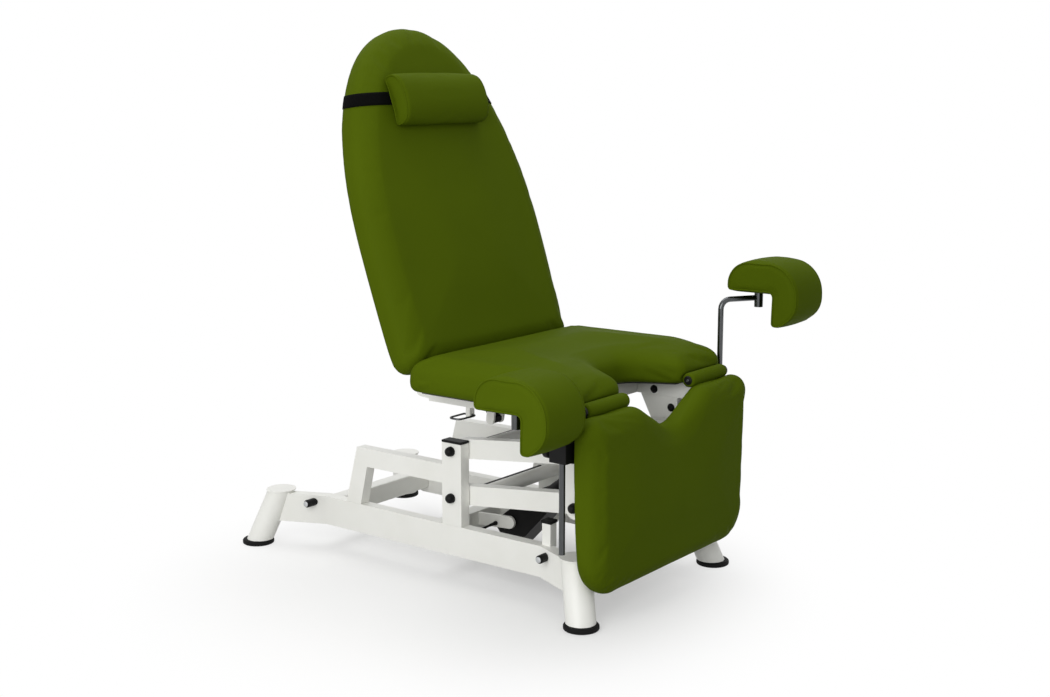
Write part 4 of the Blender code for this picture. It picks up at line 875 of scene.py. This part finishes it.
thick = band.modifiers.new("thick", "SOLIDIFY")
thick.thickness = strapLook["thick"]
thick.offset = 1.0
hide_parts("pillow_strap")
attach(band, backBody)

# A plated washer on the end of each transport peg.
pegLook = {"radius": 7.2 * mm, "thick": 0.9 * mm, "sunk": 0.3 * mm, "rim": 0.6 * mm}
for end in ("front", "rear"):
    for side, sign in (("right", -1), ("left", 1)):
        lowest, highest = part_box(f"{end}_{side}_peg")
        at = (lowest + highest) / 2
        at.x = highest.x if sign > 0 else lowest.x
        r, t, sunk = pegLook["radius"], pegLook["thick"], pegLook["sunk"]
        profile = [(0, -sunk), (r, -sunk), (r, t * 0.6), (r - pegLook["rim"], t), (0, t)]
        washer = turnedPiece(f"{end}{side.capitalize()}PegWasher", profile, at, (sign, 0, 0), plateSteel)
        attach(washer, baseBody)
# Black-capped bolts on the seat bars, seen through the gap in the seat.
boltLook = {"head": 7.5 * mm, "high": 6 * mm, "across": 180 * mm, "sides": 24,
            "places": ((64.25 * mm, 412 * mm, "Low"), (114.25 * mm, 452 * mm, "High"))}  # behind the feet, up
for side, sign in (("right", -1), ("left", 1)):
    for behind, up, word in boltLook["places"]:
        at = Vector((sign * boltLook["across"], frontFeet + behind, up))
        r, h = boltLook["head"], boltLook["high"]
        profile = [(0, -0.5 * mm), (r * 1.35, -0.5 * mm), (r * 1.35, 1.2 * mm), (r * 1.05, 1.4 * mm),
                   (r, h - 1.5 * mm), (r * 0.8, h), (r * 0.4, h), (r * 0.36, h - 2 * mm), (0, h - 2 * mm)]
        bolt = turnedPiece(f"{side}Bolt{word}", profile, at, (-sign, 0, 0), plastic,
                           boltLook["sides"])
        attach(bolt, body_of(nodes[side + "_seat_bar"])[0])
# A stepped rubber sleeve where the lead leaves its bracket.
wide, long, thin = leadLook["sleeveAcross"] / 2, leadLook["sleeve"], leadLook["across"] / 2
profile = [(thin, 0), (wide, 0), (wide, 4 * mm), (wide * 0.86, 5 * mm), (wide * 0.82, 9 * mm),
           (wide * 0.72, 10 * mm), (wide * 0.70, 14 * mm), (thin + 0.6 * mm, long), (thin, long)]
sleeve = turnedPiece("leadSleeve", profile, leadStart, (-1, 0, 0), rubber, leadLook["sleeveSides"])
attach(sleeve, baseBody)
print("small parts added")

# A white sweep and soft light from above and from the near side.
floorLook = {"colour": "#F8F8F7", "returned": "#B4B4B2", "size": 14.0, "fadeFrom": 0.35, "fadeTo": 0.88,
             "lift": 0.36, "shift": (0.2, 0.05, 0.0), "drop": 0.2 * mm}
bm = bmesh.new()
bmesh.ops.create_grid(bm, x_segments=2, y_segments=2, size=floorLook["size"])
floorMesh = bpy.data.meshes.new("floor")
bm.to_mesh(floorMesh)
bm.free()
floor = bpy.data.objects.new("floor", floorMesh)
floor.location.z = -floorLook["drop"]
scene.collection.objects.link(floor)
floorMaterial, tree, shader = newMaterial("paleFloor")
shader.inputs["Base Color"].default_value = linear(floorLook["colour"])
shader.inputs["Roughness"].default_value = 0.9
shader.inputs["Specular IOR Level"].default_value = 0.0


def seenDirectly(tree):
    # one for what the camera sees, straight or in a mirror, and nought for light that only bounces
    path = addNode(tree, "ShaderNodeLightPath").outputs
    mirror = addNode(tree, "ShaderNodeMath", {"operation": "MAXIMUM"},
                     {0: path["Is Glossy Ray"], 1: path["Is Transmission Ray"]})
    either = addNode(tree, "ShaderNodeMath", {"operation": "MAXIMUM"},
                     {0: path["Is Camera Ray"], 1: mirror.outputs[0]})
    return either.outputs[0]


place = addNode(tree, "ShaderNodeTexCoord").outputs["Object"]
around = addNode(tree, "ShaderNodeVectorMath", {"operation": "ADD", 1: floorLook["shift"]}, {0: place})
away = addNode(tree, "ShaderNodeVectorMath", {"operation": "LENGTH"}, {0: around.outputs[0]})
fade = addNode(tree, "ShaderNodeMapRange",
               {"From Min": floorLook["fadeFrom"], "From Max": floorLook["fadeTo"],
                "To Min": floorLook["lift"], "interpolation_type": "SMOOTHSTEP"},
               {"Value": away.outputs["Value"]})
white = addNode(tree, "ShaderNodeEmission", {"Color": (1, 1, 1, 1), "Strength": 1.0})
sweep = addNode(tree, "ShaderNodeMixShader", {},
                {0: fade.outputs["Result"], 1: shader.outputs[0], 2: white.outputs[0]})
matt = addNode(tree, "ShaderNodeBsdfDiffuse", {"Color": linear(floorLook["returned"])})
mixed = addNode(tree, "ShaderNodeMixShader", {},
                {0: seenDirectly(tree), 1: matt.outputs[0], 2: sweep.outputs[0]})
tree.links.new(mixed.outputs[0], tree.nodes["Material Output"].inputs["Surface"])
floorMesh.materials.append(floorMaterial)

worldLook = {"ambient": 0.52}
world = bpy.data.worlds.new("studio")
scene.world = world
world.use_nodes = True
tree = world.node_tree
level = addNode(tree, "ShaderNodeMapRange", {"To Min": worldLook["ambient"], "To Max": 1.0},
                {"Value": seenDirectly(tree)})
sky = tree.nodes["Background"]
sky.inputs["Color"].default_value = (1, 1, 1, 1)
tree.links.new(level.outputs["Result"], sky.inputs["Strength"])

lamps = {
    "overhead": {"at": (0.45, 0.55, 3.3), "aim": (0, 0, 0.4), "size": (2.4, 2.4), "power": 37},
    "window": {"at": (-3.0, -0.9, 1.5), "aim": (0, 0, 0.6), "size": (2.4, 2.0), "power": 57},
}
for name, look in lamps.items():
    lamp = bpy.data.lights.new(name, "AREA")
    lamp.shape = "RECTANGLE"
    lamp.size, lamp.size_y = look["size"]
    lamp.energy = look["power"]
    lampObject = bpy.data.objects.new(name, lamp)
    lampObject.location = look["at"]
    way = Vector(look["aim"]) - Vector(look["at"])
    lampObject.rotation_euler = way.to_track_quat("-Z", "Y").to_euler()
    scene.collection.objects.link(lampObject)
print("stage set")
